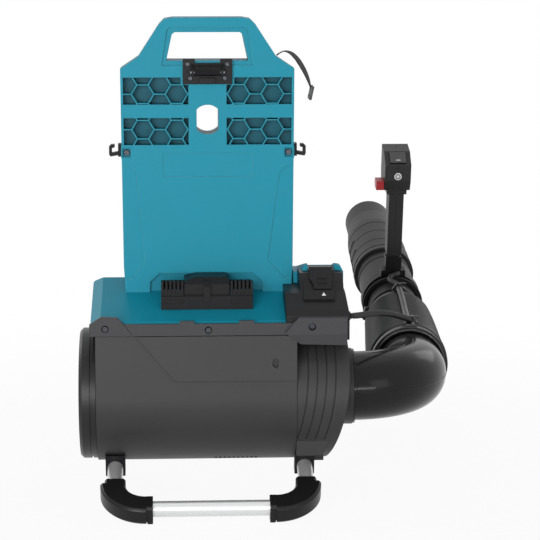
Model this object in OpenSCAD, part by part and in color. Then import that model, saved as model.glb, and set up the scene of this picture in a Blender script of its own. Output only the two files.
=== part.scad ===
// Backpack leaf blower. Millimetres, +Z up, the floor at Z = 0, X = 0 on the back frame's centre plane,
// Y = 0 on the fan's axis. The wearer stands at +Y, and the fan's axis lies along X.

/* [Fan unit] */
// Height of the fan's axis above the floor
fan_z = 150; // [149:1:156]
// Radius of the round lower part of the fan case
case_r = 97; // [96:0.5:98]
// Distance from the centre plane to the case's intake end
case_left = 160; // [158:1:164]
// Distance from the centre plane to the case's outlet end
case_right = 122; // [118:1:124]
// Height of the fan case's flat top above the fan axis
case_top = 99.7; // [99:0.1:101]
// Wall of the moulded cases
wall = 3; // [2.5:0.25:3.5]
// Radius of the air duct round the fan
duct_r = 86; // [84:0.5:88]
// Number of fan blades
fan_blades = 9; // [5:1:13]
// Number of guide vanes that carry the motor
guide_vanes = 7; // [5:1:9]
// Radius of the motor's stator
stator_r = 32; // [30:0.5:33]
// Radius of the motor shaft
shaft_r = 4; // [3:0.25:5]
// Outer radius of the intake ring
intake_r = 94; // [92:0.5:95]
// Length of the intake ring along the fan axis
intake_len = 26; // [24:1:30]

/* [Back frame] */
// Half of the frame's width at its shoulders
frame_half = 123.5; // [121:0.5:126]
// Half of the frame's width at its foot
frame_foot_half = 117; // [114:0.5:119]
// Height of the carry handle's top
frame_top = 687; // [680:1:692]
// Place of the frame's rear face along Y
frame_rear = 12; // [10:0.5:16]
// Depth of the rear frame shell
frame_deep = 42; // [40:1:44]
// Depth of the front cover behind the wearer's pads
cover_deep = 12; // [10:0.5:13]
// Height of a honeycomb cell, flat to flat
cell_flats = 26.5; // [25.5:0.1:27]
// Width of a honeycomb cell, corner to corner
cell_wide = 32; // [31:0.25:33]
// Thickness of the honeycomb ribs
cell_rib = 1.6; // [1.2:0.1:2]
// Depth of the honeycomb pockets
cell_deep = 18; // [14:1:20]
// Height of the carry handle's opening
grip_window = 40; // [37:1:41]

/* [Pipes] */
// Outer radius of the elbow
elbow_r = 50; // [48.5:0.5:50.5]
// Bend radius of the elbow's centre line
elbow_bend = 100; // [98:1:103]
// Wall of the pipes
pipe_wall = 2; // [1.6:0.1:2.2]
// Outer radius of the inner pipe behind the hose
inner_pipe_r = 41; // [40.5:0.1:41.4]
// Outer radius of the swivel pipe
swivel_r = 45; // [44.8:0.1:45.4]
// Outer radius of the nozzle's mouth
nozzle_r = 41.5; // [40.5:0.25:42.5]
// Length of the nozzle from its socket to its mouth
nozzle_len = 272; // [266:1:285]
// Distance between the nozzle's lock steps
lock_pitch = 45; // [43:0.5:46]
// Upward tilt of the pipes from the horizontal
pipe_tilt = 11.5; // [10.5:0.25:12.5]
// Number of ribs on each half of the flexible hose
hose_ribs = 16; // [10:1:20]

/* [Control handle] */
// Height of the handle's top above the pipe's axis
handle_top = 265; // [260:1:272]
// Width of the handle's grip
grip_w = 24; // [23:0.5:27]
// Depth of the handle's grip
grip_d = 34; // [33:0.5:37]
// Width of the handle's head
head_w = 42; // [40:0.5:45]
// Radius of the power button
button_r = 6; // [5:0.25:6.5]

/* [Stand] */
// Outer radius of the stand's tube
tube_r = 11; // [10.5:0.25:11.5]
// Distance from the centre plane to each leg of the stand
leg_x = 135; // [132:1:138]
// Bend radius of the stand's tube
leg_bend = 45; // [43:1:47]
// Upward slope of the stand's legs
leg_slope = 20; // [19:0.5:21]
// Distance from the fan axis to the stand's rear bar
stand_rear = 150; // [146:1:154]

/* [Clearances] */
// Gap between separate parts
gap = 0.3; // [0.2:0.05:0.4]
// Radial clearance of a running or sliding fit
run = 0.05; // [0.02:0.01:0.1]

/* [Hidden] */
$fn = 64;

teal = [0.03, 0.45, 0.52];
black = [0.06, 0.06, 0.07];
charcoal = [0.17, 0.16, 0.17];
trim_grey = [0.27, 0.27, 0.29];
silver = [0.82, 0.83, 0.85];
steel = [0.45, 0.46, 0.48];

// Shared heights and places
case_top_z = fan_z + case_top;
slope = 16;                       // rise of the upper case's top towards the wearer
slope_y = -82;                    // where that slope starts
slope_z = case_top_z + 17;
case_rear_y = -86;                // rear and front walls of the upper case
case_front_y = 80;
upper_left = case_left + 8;
upper_right = 107;
tower_right = 196;
frame_front = frame_rear + frame_deep;
cover_front = frame_front + gap + cover_deep;
function slope_at(y) = slope_z + (y - slope_y) * tan(slope);

// Flexible hose: a curve from the elbow's mouth to its tip on the inner pipe; hose_end is the pipes' own origin
elbow_x = 207;                    // where the elbow's bend starts
elbow_out_x = elbow_x + elbow_bend;
elbow_out_y = elbow_bend + 50;
elbow_z = fan_z + 6;              // height of the elbow's axis
pipe_yaw = 0.5;
hose_start = [elbow_out_x, elbow_out_y + 6, elbow_z];
hose_end = [elbow_out_x + 5, elbow_out_y + 210, fan_z + 34];
pipe_dir = [-sin(pipe_yaw) * cos(pipe_tilt), cos(pipe_yaw) * cos(pipe_tilt), sin(pipe_tilt)];
hose_pull = 62;
hose_tip = hose_end - 16 * pipe_dir;
hose_points = [hose_start, hose_start + [0, hose_pull, 0], hose_tip - hose_pull * pipe_dir, hose_tip];
hose_wall = 2;
hose_r_start = 61;                // ridge radius at the elbow and at the inner pipe
hose_r_end = 54;
hose_sides = 8;
facet = 1 / cos(180 / hose_sides);   // so that the flats of a ring clear a round pipe
cuff_bore_rear = (elbow_r + gap) * facet;
cuff_bore_front = (inner_pipe_r + gap) * facet;
cuff_out_front = cuff_bore_front + hose_wall;
ring_half = 0.02;                 // half of the middle ring's share of the hose

// Places along the pipe's axis, measured from the hose's front end
swivel_start = 62;
swivel_end = 350;
nozzle_start = 195;
clamp_start = 70;
clamp_len = 26;
handle_mid = 78;                  // centre of the handle along the pipe
head_base = 190;                  // bottom of the head above the pipe's axis
clamp_base = 52;                  // where the handle's foot sits in the clamp

// ---- helpers ----

// Extrudes a (Y, Z) outline along X
module along_x(x0, x1) {
    translate([x0, 0, 0]) rotate([90, 0, 90]) linear_extrude(x1 - x0) children();
}

// Extrudes an (X, Z) outline along Y
module along_y(y0, y1) {
    translate([0, y1, 0]) rotate([90, 0, 0]) linear_extrude(y1 - y0) children();
}

// A cylinder on the fan's axis
module fan_cylinder(x0, x1, r0, r1) {
    translate([x0, 0, fan_z]) rotate([0, 90, 0]) cylinder(h = x1 - x0, r1 = r0, r2 = r1);
}

module fan_tube(x0, x1, ro, ri) {
    difference() {
        fan_cylinder(x0, x1, ro, ro);
        fan_cylinder(x0 - 1, x1 + 1, ri, ri);
    }
}

// The pipes' own frame: local Z runs along the pipe, local -Y is up
module pipe_frame(at = 0) {
    translate(hose_end) rotate([0, 0, pipe_yaw]) rotate([pipe_tilt - 90, 0, 0])
        translate([0, 0, at]) children();
}

// The handle's frame: X to the right, Y up from the pipe's axis, extruded along X from (along, up)
module handle_profile(half_from, half_to) {
    pipe_frame() translate([half_from, 0, 0]) rotate(180, [1, 0, 1])
        linear_extrude(half_to - half_from) children();
}

// The stand's frame: the rear bar lies along X at the origin, the legs run along local Y
module stand_frame() {
    translate([0, -stand_rear, tube_r + 7.4]) rotate([leg_slope, 0, 0]) children();
}

// A screw with a pan head: the head's underside at the origin, the shank along -Z
module screw(head_r, head_h, shank_r, shank_l) {
    difference() {
        union() {
            cylinder(h = head_h, r1 = head_r, r2 = head_r * 0.8);
            translate([0, 0, -shank_l]) cylinder(h = shank_l + 0.1, r = shank_r);
        }
        translate([0, 0, head_h * 0.4]) cylinder(h = head_h, r = head_r * 0.42, $fn = 6);
    }
}

// Turns a screw so that its head faces the rear, -Y
module to_rear() {
    rotate([90, 0, 0]) children();
}

function unit(v) = v / norm(v);

// Points of a cubic curve and its direction
function bez(p, t) = pow(1 - t, 3) * p[0] + 3 * pow(1 - t, 2) * t * p[1]
    + 3 * (1 - t) * t * t * p[2] + t * t * t * p[3];
function bez_dir(p, t) = unit(pow(1 - t, 2) * (p[1] - p[0]) + 2 * (1 - t) * t * (p[2] - p[1])
    + t * t * (p[3] - p[2]));

// One ring of a swept solid: centre, direction, side vector, half widths across and along it
function ring(c, d, side, rx, ry, n) =
    let (b = unit(side - (side * d) * d), u = cross(d, b))
    [for (k = [0:n - 1]) c + rx * cos(360 * k / n) * b + ry * sin(360 * k / n) * u];

// Faces between rings of n points; a closed sweep joins the last ring to the first
function side_faces(m, n, closed) = [for (i = [0:m - (closed ? 1 : 2)]) for (k = [0:n - 1])
    let (a = i * n + k, b = i * n + (k + 1) % n, j = (i + 1) % m, c = j * n + (k + 1) % n, d = j * n + k)
    each [[a, c, b], [a, d, c]]];

module swept_solid(rings) {
    n = len(rings[0]);
    m = len(rings);
    polyhedron([for (r = rings) each r],
        concat(side_faces(m, n, false), [for (k = [1:n - 2]) [0, k, k + 1]],
            [for (k = [1:n - 2]) let (o = (m - 1) * n) [o, o + k + 1, o + k]]));
}

module swept_tube(rings) {
    n = len(rings[0]);
    polyhedron([for (r = rings) each r], side_faces(len(rings), n, true));
}

// A smooth route through hand-set points: Catmull-Rom, so many steps to a span
function route_pt(p, i, t) =
    let (a = p[max(i - 1, 0)], b = p[i], c = p[i + 1], d = p[min(i + 2, len(p) - 1)])
    0.5 * (2 * b + (c - a) * t + (2 * a - 5 * b + 4 * c - d) * t * t + (3 * b - a - 3 * c + d) * t * t * t);
function route(p, steps) = concat([for (i = [0:len(p) - 2]) for (k = [0:steps - 1])
    route_pt(p, i, k / steps)], [p[len(p) - 1]]);
function heading(q, i) = unit(q[min(i + 1, len(q) - 1)] - q[max(i - 1, 0)]);

// ---- back frame ----

hook_half = 64;
shoulder_z = frame_top - 84;
window_low = frame_top - 20.5 - grip_window;
hole_z = 543;                     // centre of the through-hole
hole_r = 15.5;
hole_half = 21;
arch_half = 81;
screw_x = frame_half - 8;
screw_z = 496;
cell_pitch = cell_wide * 0.75;
block_in = 27;                    // inner and outer ends of the honeycomb blocks
block_out = frame_half - 2.9;
block_high = 38.4;
upper_block_z = 564.5;
lower_block_z = 507;

module frame_outline(inset) {
    f = frame_foot_half - inset;
    h = frame_half - inset;
    polygon([[-f, 262], [f, 262], [h - 2, 332], [h, shoulder_z], [h, shoulder_z + 12 - inset],
        [98 - inset, shoulder_z + 29 - inset], [68 - inset, frame_top - 9 - inset],
        [61 - inset, frame_top - 2 - inset], [50 - inset, frame_top - inset],
        [inset - 50, frame_top - inset], [inset - 61, frame_top - 2 - inset],
        [inset - 68, frame_top - 9 - inset], [inset - 98, shoulder_z + 29 - inset],
        [-h, shoulder_z + 12 - inset], [-h, shoulder_z], [2 - h, 332]]);
}

module window_outline(out) {
    t = frame_top - 20.5 + out;
    b = window_low - out;
    polygon([[-58 - out, b], [58 + out, b], [50 + out, t - 3], [46 + out, t],
        [-46 - out, t], [-50 - out, t - 3]]);
}

module hole_outline(out) {
    intersection() {
        translate([0, hole_z]) circle(hole_half + out);
        translate([-hole_r - out, hole_z - 40]) square([2 * (hole_r + out), 80]);
    }
}

module block_outline(side, z0, out) {
    mirror([side < 0 ? 1 : 0, 0]) difference() {
        translate([block_in - out, z0 - out])
            square([block_out - block_in + 2 * out, block_high + 2 * out]);
        // the upper blocks step round the latch
        translate([0, latch_low - 1 + out]) square([latch_half + 3 - out, 40]);
    }
}

// Cells of one block; the even columns stand at row_z, the odd ones half a cell to the side
module cells(side, z0, row_z) {
    intersection() {
        block_outline(side, z0, 0);
        for (k = [1:5], j = [-1:1])
            translate([side * (k * cell_pitch - 4),
                row_z + j * cell_flats + (k % 2 == 1 ? cell_flats / 2 : 0)])
                polygon([for (a = [0:60:300]) [(cell_wide - cell_rib * 1.2) / 2 * cos(a),
                    (cell_flats - cell_rib) / sqrt(3) * sin(a)]]);
    }
}

module arch_outline(out) {
    h = arch_half + out;
    translate([hook_x, 0]) polygon([[-h, 255], [h, 255], [h, 309], [h - 14, 322 + out], [14 - h, 322 + out],
        [-h, 309]]);
}

module screw_recess(side, out) {
    translate([side * screw_x - 6 - out, screw_z - 6.5 - out]) square([12 + 2 * out, 13 + 2 * out]);
}

module band_outline(side) {
    mirror([side < 0 ? 1 : 0, 0])
        polygon([[140, 477], [113, 477], [102, 466], [88 - 2.8 * side, 340], [110, 313.5], [140, 313.5]]);
}

// Everything below the upper case's sloping top, for cutting what stands on it
module below_slope(lift) {
    translate([0, slope_y, slope_z + lift / cos(slope)]) rotate([slope, 0, 0])
        translate([-250, -60, -100]) cube([500, 300, 100]);
}

module back_frame() color(teal) difference() {
    union() {
        along_y(frame_rear, frame_rear + wall + 0.5) difference() {
            frame_outline(0);
            window_outline(0);
            hole_outline(0);
            arch_outline(0);
            for (s = [-1, 1]) {
                block_outline(s, upper_block_z, 0);
                block_outline(s, lower_block_z, 0);
                screw_recess(s, 0);
            }
        }
        along_y(frame_rear, frame_front) difference() {
            frame_outline(0);
            frame_outline(wall + 0.5);
        }
        along_y(frame_rear, frame_front) {
            difference() {
                window_outline(wall);
                window_outline(0);
            }
            difference() {
                hole_outline(wall);
                hole_outline(0);
            }
        }
        for (s = [-1, 1]) {
            along_y(frame_rear, frame_rear + cell_deep) {
                difference() {
                    block_outline(s, upper_block_z, 2);
                    cells(s, upper_block_z, upper_block_z + 14.8);
                }
                difference() {
                    block_outline(s, lower_block_z, 2);
                    cells(s, lower_block_z, lower_block_z + 22);
                }
            }
            along_y(frame_rear + cell_deep, frame_rear + cell_deep + 2) {
                block_outline(s, upper_block_z, 2);
                block_outline(s, lower_block_z, 2);
            }
            along_y(frame_rear, frame_rear + 8.5) difference() {
                screw_recess(s, 2);
                screw_recess(s, 0);
            }
            along_y(frame_rear + 6, frame_rear + 8.5) screw_recess(s, 2);
        }
        along_y(frame_rear, frame_rear + 8.5) intersection() {
            arch_outline(3);
            frame_outline(0);
        }
        // bosses that the front cover's screws and the latch's screws enter
        for (s = [-1, 1]) translate([s * screw_x, frame_front, screw_z]) to_rear()
            cylinder(h = frame_deep - 8, r = 4.5);
    }
    along_y(frame_rear - 1, frame_rear + 5) arch_outline(0);
    along_y(frame_rear - 1, frame_rear + 0.8) translate([-hook_half, 461.5]) square([2 * hook_half, 34]);
    along_y(frame_rear - 1, frame_rear + 1.4) {
        band_outline(1);
        band_outline(-1);
    }
    along_y(frame_rear - 1, frame_rear + 2.5) difference() {
        window_outline(7);
        window_outline(-1);
        translate([-36, window_low - 20]) square([72, 20]);
    }
    for (s = [-1, 1]) {
        translate([s * screw_x, frame_rear + 40, screw_z]) to_rear() cylinder(h = 45, r = 2.6);
        along_y(frame_rear - 1, frame_rear + 6) screw_recess(s, 0);
    }
    for (p = latch_screws_at) translate([p[0], frame_rear + 8, latch_low + p[1]]) to_rear()
        cylinder(h = 10, r = 1.9);
    below_slope(gap);
}

module front_cover() color(teal) difference() {
    y0 = frame_front + gap;
    union() {
        along_y(cover_front - wall, cover_front) frame_outline(2);
        along_y(y0, cover_front) {
            difference() {
                frame_outline(0.4);
                frame_outline(wall + 1);
            }
            window_outline(wall);
            hole_outline(wall);
        }
    }
    along_y(y0 - 1, cover_front + 1) {
        window_outline(0);
        hole_outline(0);
        // slots that the shoulder straps pass through
        for (s = [-1, 1]) translate([s * 62 - 20.5, shoulder_z - 12.5]) square([41, 8]);
    }
    below_slope(gap);
}

// ---- latch for the power pack ----

latch_y = frame_rear - gap;
latch_low = window_low - 33;
latch_high = window_low + 3;
latch_pin_y = frame_rear - 9;
latch_pin_z = latch_low + 17;
latch_half = 35;
latch_screws_at = [[-28, 28.5], [28, 28.5], [-24.5, 8.5], [24.5, 8.5]];

module latch_bracket() color(black) difference() {
    union() {
        along_y(latch_y - 4, latch_y) difference() {
            translate([-latch_half, latch_low]) square([2 * latch_half, latch_high - latch_low]);
            translate([-18, latch_high - 6]) square([36, 7]);
        }
        for (s = [-1, 1]) along_x(s * 21 - 2, s * 21 + 2)
            polygon([[latch_y - 3, latch_low + 12.5], [latch_pin_y - 4, latch_low + 13.5],
                [latch_pin_y - 4, latch_low + 21], [latch_y - 3, latch_high - 6]]);
        along_y(latch_y - 9, latch_y - 3) translate([-11, latch_low + 2]) square([22, 7]);
    }
    translate([-30, latch_pin_y, latch_pin_z]) rotate([0, 90, 0]) cylinder(h = 60, r = 1.6 + run);
    for (p = latch_screws_at) translate([p[0], latch_y + 1, latch_low + p[1]]) to_rear()
        cylinder(h = 6, r = 1.9);
}

module latch_lever() color(black) difference() {
    union() {
        along_x(-18.4, 18.4) polygon([[latch_pin_y + 3.5, latch_pin_z - 4], [latch_pin_y + 3.5, latch_pin_z + 4],
            [latch_pin_y + 1, latch_pin_z + 9], [latch_pin_y - 5, latch_pin_z + 9],
            [latch_pin_y - 7, latch_pin_z + 5], [latch_pin_y - 4, latch_pin_z - 3],
            [latch_pin_y, latch_pin_z - 5]]);
        // finger ridges along the lever's top
        for (k = [-5:5]) along_x(k * 3.3 - 0.8, k * 3.3 + 0.8)
            polygon([[latch_pin_y - 7, latch_pin_z + 5], [latch_pin_y - 5.6, latch_pin_z + 10],
                [latch_pin_y + 0.6, latch_pin_z + 10], [latch_pin_y, latch_pin_z + 5]]);
    }
    translate([-30, latch_pin_y, latch_pin_z]) rotate([0, 90, 0]) cylinder(h = 60, r = 1.6 + run);
    // room for the return spring
    translate([-5, latch_pin_y, latch_pin_z]) rotate([0, 90, 0]) cylinder(h = 10, r = 4.2);
}

module latch_pin() color(steel)
    translate([-24, latch_pin_y, latch_pin_z]) rotate([0, 90, 0]) cylinder(h = 48, r = 1.6);

// Coil round the pin
function coil(at, turns, r, pitch, steps) = [for (i = [0:turns * steps])
    at + [i * pitch / steps, r * cos(360 * i / steps), r * sin(360 * i / steps)]];

module latch_spring() color(steel) {
    q = coil([-4, latch_pin_y, latch_pin_z], 5, 2.9, 1.6, 8);
    swept_solid([for (i = [0:len(q) - 1]) ring(q[i], heading(q, i), [1, 0, 0], 0.5, 0.5, 6)]);
}

// ---- hook that the power pack stands in ----

hook_x = -3;
hook_rear = frame_rear - 54;
hook_top = 319;
hook_seat = 301;

module pack_hook() color(black) difference() {
    union() {
        along_x(hook_x - 65, hook_x + 65) polygon([[frame_rear + 4.7, 262], [frame_rear + 4.7, hook_seat],
            [hook_rear + 4, hook_seat], [hook_rear, hook_seat - 4], [hook_rear, 262]]);
        // lip in front of the pack's feet, with its comb of teeth
        for (s = [-1, 1]) {
            along_y(hook_rear + 1, hook_rear + 5) translate([hook_x + s * 49 - 16, hook_seat - 6])
                square([32, 12]);
            for (k = [0:5]) along_y(hook_rear, hook_rear + 7)
                translate([hook_x + s * 49 - 15.5 + k * 5.6, hook_seat - 2]) square([3, hook_top - hook_seat + 2]);
            along_x(hook_x + s * 63.5 - 1.5, hook_x + s * 63.5 + 1.5)
                polygon([[frame_rear + 4.7, hook_seat - 1], [frame_rear + 4.7, hook_top - 8],
                    [hook_rear + 8, hook_top - 8], [hook_rear, hook_seat + 4], [hook_rear, hook_seat - 1]]);
        }
        // plate against the frame
        along_y(frame_rear + 1.7, frame_rear + 4.7) translate([hook_x - 65, hook_seat - 2])
            square([130, hook_top - hook_seat - 6]);
        // raised middle with its upright rib
        intersection() {
            along_y(hook_rear, frame_rear + 10) translate([hook_x, 0]) polygon([[-32, hook_seat - 2],
                [-32, hook_top - 1], [-16, hook_top + 4], [27, hook_top + 4], [32, hook_top - 1], [32, hook_seat - 2]]);
            along_x(hook_x - 32, hook_x + 32) polygon([[frame_rear + 4.7, hook_seat - 1],
                [frame_rear + 4.7, hook_top + 1.2], [frame_rear - gap, hook_top + 1.2],
                [frame_rear - gap, hook_top + 4], [hook_rear + 12, hook_top + 4], [hook_rear + 3, hook_top - 5],
                [hook_rear + 3, hook_seat - 1]]);
        }
        along_x(hook_x - 5, hook_x + 5) polygon([[hook_rear + 8, hook_seat - 12],
            [hook_rear + 14, hook_top + 2], [hook_rear + 6, hook_top], [hook_rear - 1.5, hook_top - 8],
            [hook_rear - 1.5, hook_seat - 12]]);
    }
    // hollow from below
    along_x(hook_x - 62, hook_x + 62) polygon([[frame_rear + 2, 255], [frame_rear + 2, hook_seat - 3],
        [hook_rear + 3, hook_seat - 3], [hook_rear + 3, 255]]);
    // grooves of the front's ledges
    for (s = [-1, 1]) along_y(hook_rear - 1, hook_rear + 1.2)
        translate([hook_x + s * 47 - 13, hook_seat - 14]) square([26, 6]);
    below_slope(gap);
}

module frame_screws() color(steel) {
    for (s = [-1, 1]) translate([s * screw_x, frame_rear + 6, screw_z]) to_rear() screw(4.6, 3.2, 2.5, 28);
    for (p = latch_screws_at) translate([p[0], latch_y - 4, latch_low + p[1]]) to_rear() screw(3.3, 2, 1.8, 9);
}

// Side hooks on the frame's edges
module strap_hook(side) color(black) {
    x0 = frame_half - 0.42;
    mirror([side < 0 ? 1 : 0, 0, 0]) difference() {
        union() {
            along_y(frame_rear + 14, frame_rear + 34) translate([x0, screw_z])
                polygon([[0, -7], [5, -7], [5, 11], [0, 11]]);
            along_y(frame_rear + 17, frame_rear + 31) translate([x0, screw_z]) polygon([[4, -5], [16, -7],
                [18, -4], [18, 7], [15, 10], [10, 10], [10, 6], [14, 5], [14, -2], [4, 0]]);
        }
        translate([x0 - 1, frame_rear + 24, screw_z + 7.5]) rotate([0, 90, 0]) cylinder(h = 7, r = 1.6);
    }
}

module strap_hook_left() strap_hook(-1);
module strap_hook_right() strap_hook(1);

// ---- upper case ----

shoulder_top = 305;               // top of the socket tower's wide part
tower_mid = 158.5;                // centre of the socket tower's port
neck_left = 129;                  // sides of the tower's upper part
neck_right = 190.5;
neck_top = 327;
flap_slot = 37;                   // width of the gap between the shroud's ears
port_tilt = 45;
port_y = -38;
port_z = 317;
port_r = 13.5;

module upper_profile(inset) {
    front = case_front_y - inset;
    rear = case_rear_y + inset;
    polygon([[rear, case_top_z + gap - (inset > 0 ? 5 : 0)], [front, case_top_z + gap - (inset > 0 ? 5 : 0)],
        [front, slope_at(62) - 8 - inset], [62 - inset, slope_at(62) - inset * 1.1],
        [slope_y + 6, slope_at(slope_y + 6) - inset * 1.1], [rear, slope_z - 4 - inset]]);
}

// Shroud round the top of the socket tower
module shroud() {
    difference() {
        intersection() {
            along_y(-10, case_front_y) polygon([[upper_right - wall, case_top_z + gap],
                [upper_right - wall, 306], [case_right + gap, 306], [case_right + gap, neck_top - 5], [130, neck_top - 5],
                [136, neck_top + 5], [139, neck_top + 10], [182, neck_top + 10],
                [188, neck_top + 6.5], [neck_right + 2.5, neck_top - 1], [neck_right + 2.5, case_top_z + gap]]);
            along_x(100, 200) polygon([[-8, shoulder_top + gap], [-8, neck_top], [-5, neck_top + 8], [2, neck_top + 9.5],
                [66, neck_top - 5], [case_front_y, neck_top - 11], [case_front_y, case_top_z + gap],
                [68, case_top_z + gap], [68, shoulder_top + gap]]);
        }
        // the frame's foot and the view past it
        translate([90, -20, 200]) cube([case_right + gap - 90, 88, 200]);
        translate([90, -20, 200]) cube([neck_left - 90 - gap, 38, 200]);
        // room for the tower's neck and its flap
        translate([neck_left - gap, -20, 200]) cube([neck_right - neck_left + 2 * gap, 30, neck_top - 200 + gap]);
        translate([neck_left - gap, -20, 200]) cube([neck_right - neck_left + 2 * gap, 62 + 20 + gap,
            neck_top - 12 - 200 + gap]);
        along_x(neck_left - gap, neck_right + gap) polygon([[9, 300], [9, neck_top + gap],
            [62 + gap, neck_top - 12 + gap], [62 + gap, 300]]);
        translate([tower_mid + 2 - flap_slot / 2 - gap, -20, 300]) cube([flap_slot + 2 * gap, 61, 60]);
    }
}

module upper_case() color(teal) difference() {
    union() {
        difference() {
            along_x(-upper_left, upper_right) upper_profile(0);
            difference() {
                along_x(wall - upper_left, upper_right - wall) upper_profile(wall);
                left_chamfer(wall * 0.75);
            }
        }
        shroud();
    }
    strip_bores();
    left_chamfer(0);
}

// What the chamfer along the top's left edge takes off
module left_chamfer(inset) {
    translate([inset, slope_y, slope_z]) rotate([slope, 0, 0]) translate([0, -60, -inset]) rotate([90, 0, 0])
        mirror([0, 0, 1]) linear_extrude(300)
        polygon([[-upper_left - 20, -16], [-upper_left - 1, -16], [16 - upper_left, 1], [-upper_left - 20, 1]]);
}

module trim_strip() color(trim_grey) {
    z0 = case_top_z;
    difference() {
        union() {
            along_y(case_rear_y - gap - 4.7, case_rear_y - gap) polygon([[-upper_left, z0 + 0.6],
                [-upper_left, z0 + 17.5], [-151.5, z0 + 28.3], [-129, z0 + 27.2], [-120, z0 + 17.5],
                [-42, z0 + 17.5], [-42, z0 + 21.5], [-22, z0 + 21.5], [-22, z0 + 17.5],
                [41, z0 + 17.5], [41, z0 + 21.5], [62, z0 + 21.5], [62, z0 + 17.5], [130, z0 + 17.5],
                [130, z0 + 0.6]]);
            // thick plate under the socket tower
            intersection() {
                along_y(-100, case_rear_y - gap) polygon([[105.3, z0 + 4.5], [124.5, z0 + 26.6],
                    [192, z0 + 26], [192, z0 - 14], [126.7, z0 - 12]]);
                along_x(90, 200) polygon([[case_rear_y - gap, z0 + 28], [-95.5, z0 + 28], [-97.5, z0 + 25],
                    [-97.5, z0 + 2], [-94.5, z0 - 15], [case_rear_y - gap, z0 - 15]]);
            }
        }
        translate([90, panel_y - 1.2, z0 - 20]) cube([case_right + gap - 90, 20, 20.6]);
        along_y(-92, case_rear_y - gap - 3.5) polygon([[-121, z0 + 18], [-119, z0 + 18], [-108, z0 + 3], [-110, z0 + 3]]);
        strip_bores();
    }
}

strip_screws = [[-146, 11], [-2, 8.5], [143, 13]];

module strip_bores() {
    for (p = strip_screws) translate([p[0], case_rear_y, case_top_z + p[1]]) to_rear() {
        translate([0, 0, -10]) cylinder(h = 20, r = 2.2);
        translate([0, 0, 2]) cylinder(h = 12, r = 5.2);
    }
}

module case_screws() color(steel) {
    for (p = strip_screws) translate([p[0], case_rear_y - 2.3, case_top_z + p[1]]) to_rear()
        screw(4.6, 2.8, 1.9, 12);
}

// ---- fan case ----

rear_wall_y = -88.5;
panel_y = -92;
front_wall_y = 82;

function wall_foot(inset, y, s) = let (p = [y, case_top - inset],
    a = atan2(p[1], p[0]) + s * acos((case_r - inset) / norm(p))) (case_r - inset) * [cos(a), sin(a)];

module case_profile(inset) {
    union() {
        translate([0, fan_z]) circle(case_r - inset);
        // flat walls run on from the round ones
        translate([0, fan_z]) polygon([wall_foot(inset, rear_wall_y + inset, 1), [rear_wall_y + inset, case_top - inset],
            [front_wall_y - inset, case_top - inset], wall_foot(inset, front_wall_y - inset, -1)]);
    }
}

module case_body() difference() {
    union() {
        along_x(-case_left, case_right) case_profile(0);
        // raised flat panel on the rear's upper right
        intersection() {
            along_y(-110, -80) polygon([[-104, case_top_z], [-49, fan_z + 36],
                [case_right, fan_z + 36], [case_right, case_top_z]]);
            along_x(-110, 130) polygon([[wall_foot(0, rear_wall_y, 1)[0] - 3.4, fan_z + 8], [panel_y, case_top_z],
                [-80, case_top_z], [-80, fan_z + 8]]);
        }
    }
    along_x(wall - case_left, case_right + 1) case_profile(wall);
    // mouth for the intake ring
    fan_cylinder(-case_left - 1, wall - case_left + 1, duct_r + 4, duct_r + 4);
    // vents below
    for (k = [0:9]) translate([7 + k * 6.4, -45, fan_z - case_r - 2]) cube([3.2, 24, 14]);
    // passage for the motor's leads
    translate([-20, -30, case_top_z - 8]) cube([60, 50, 12]);
    translate([92, panel_y - 8, fan_z + 61]) scale([1, 1, 1.4]) rotate([-90, 0, 0]) cylinder(h = 9, r = 4.6);
}

module half_space(front) {
    translate([-300, front > 0 ? gap / 2 : -300 - gap / 2, -50]) cube([700, 300, 700]);
}

module fan_case_rear() color(charcoal) intersection() {
    case_body();
    half_space(-1);
}

module fan_case_front() color(charcoal) intersection() {
    case_body();
    half_space(1);
}

module intake_ring() color(black) {
    x0 = -case_left - gap;
    difference() {
        union() {
            fan_cylinder(x0 - intake_len + 6, x0, intake_r, intake_r);
            fan_cylinder(x0 - intake_len, x0 - intake_len + 6, intake_r - 6, intake_r);
            fan_cylinder(x0 - 1, x0 + 8, duct_r + 4 - gap, duct_r + 4 - gap);
        }
        fan_cylinder(x0 - intake_len - 1, x0 - intake_len + 9, duct_r + 6, duct_r - 2);
        fan_cylinder(x0 - intake_len, x0 + 12, duct_r - 2, duct_r - 2);
        fan_tube(x0 - 9, x0 - 6, intake_r + 1, intake_r - 2);
        // seat of the grille
        fan_cylinder(x0 - intake_len + 9, x0 - intake_len + 13, duct_r, duct_r);
    }
}

module intake_grille() color(black) {
    x1 = -case_left - gap - intake_len + 12.7;
    translate([x1 - 3, 0, fan_z]) rotate([0, 90, 0]) linear_extrude(3) {
        for (r = [16:14:72]) elbow_section(r + 2.4, 2.4);
        elbow_section(duct_r - gap, 5 - gap);
        circle(8);
        for (a = [0:45:315]) rotate(a) translate([5, -1.2]) square([duct_r - 9, 2.4]);
    }
}

// ---- fan, motor and duct ----

duct_wall = 2.5;
motor_x = -30;                    // rear end of the motor
motor_len = 52;
fan_x = -112;                     // intake end of the fan
fan_len = 44;
hub_r = 34;

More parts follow.
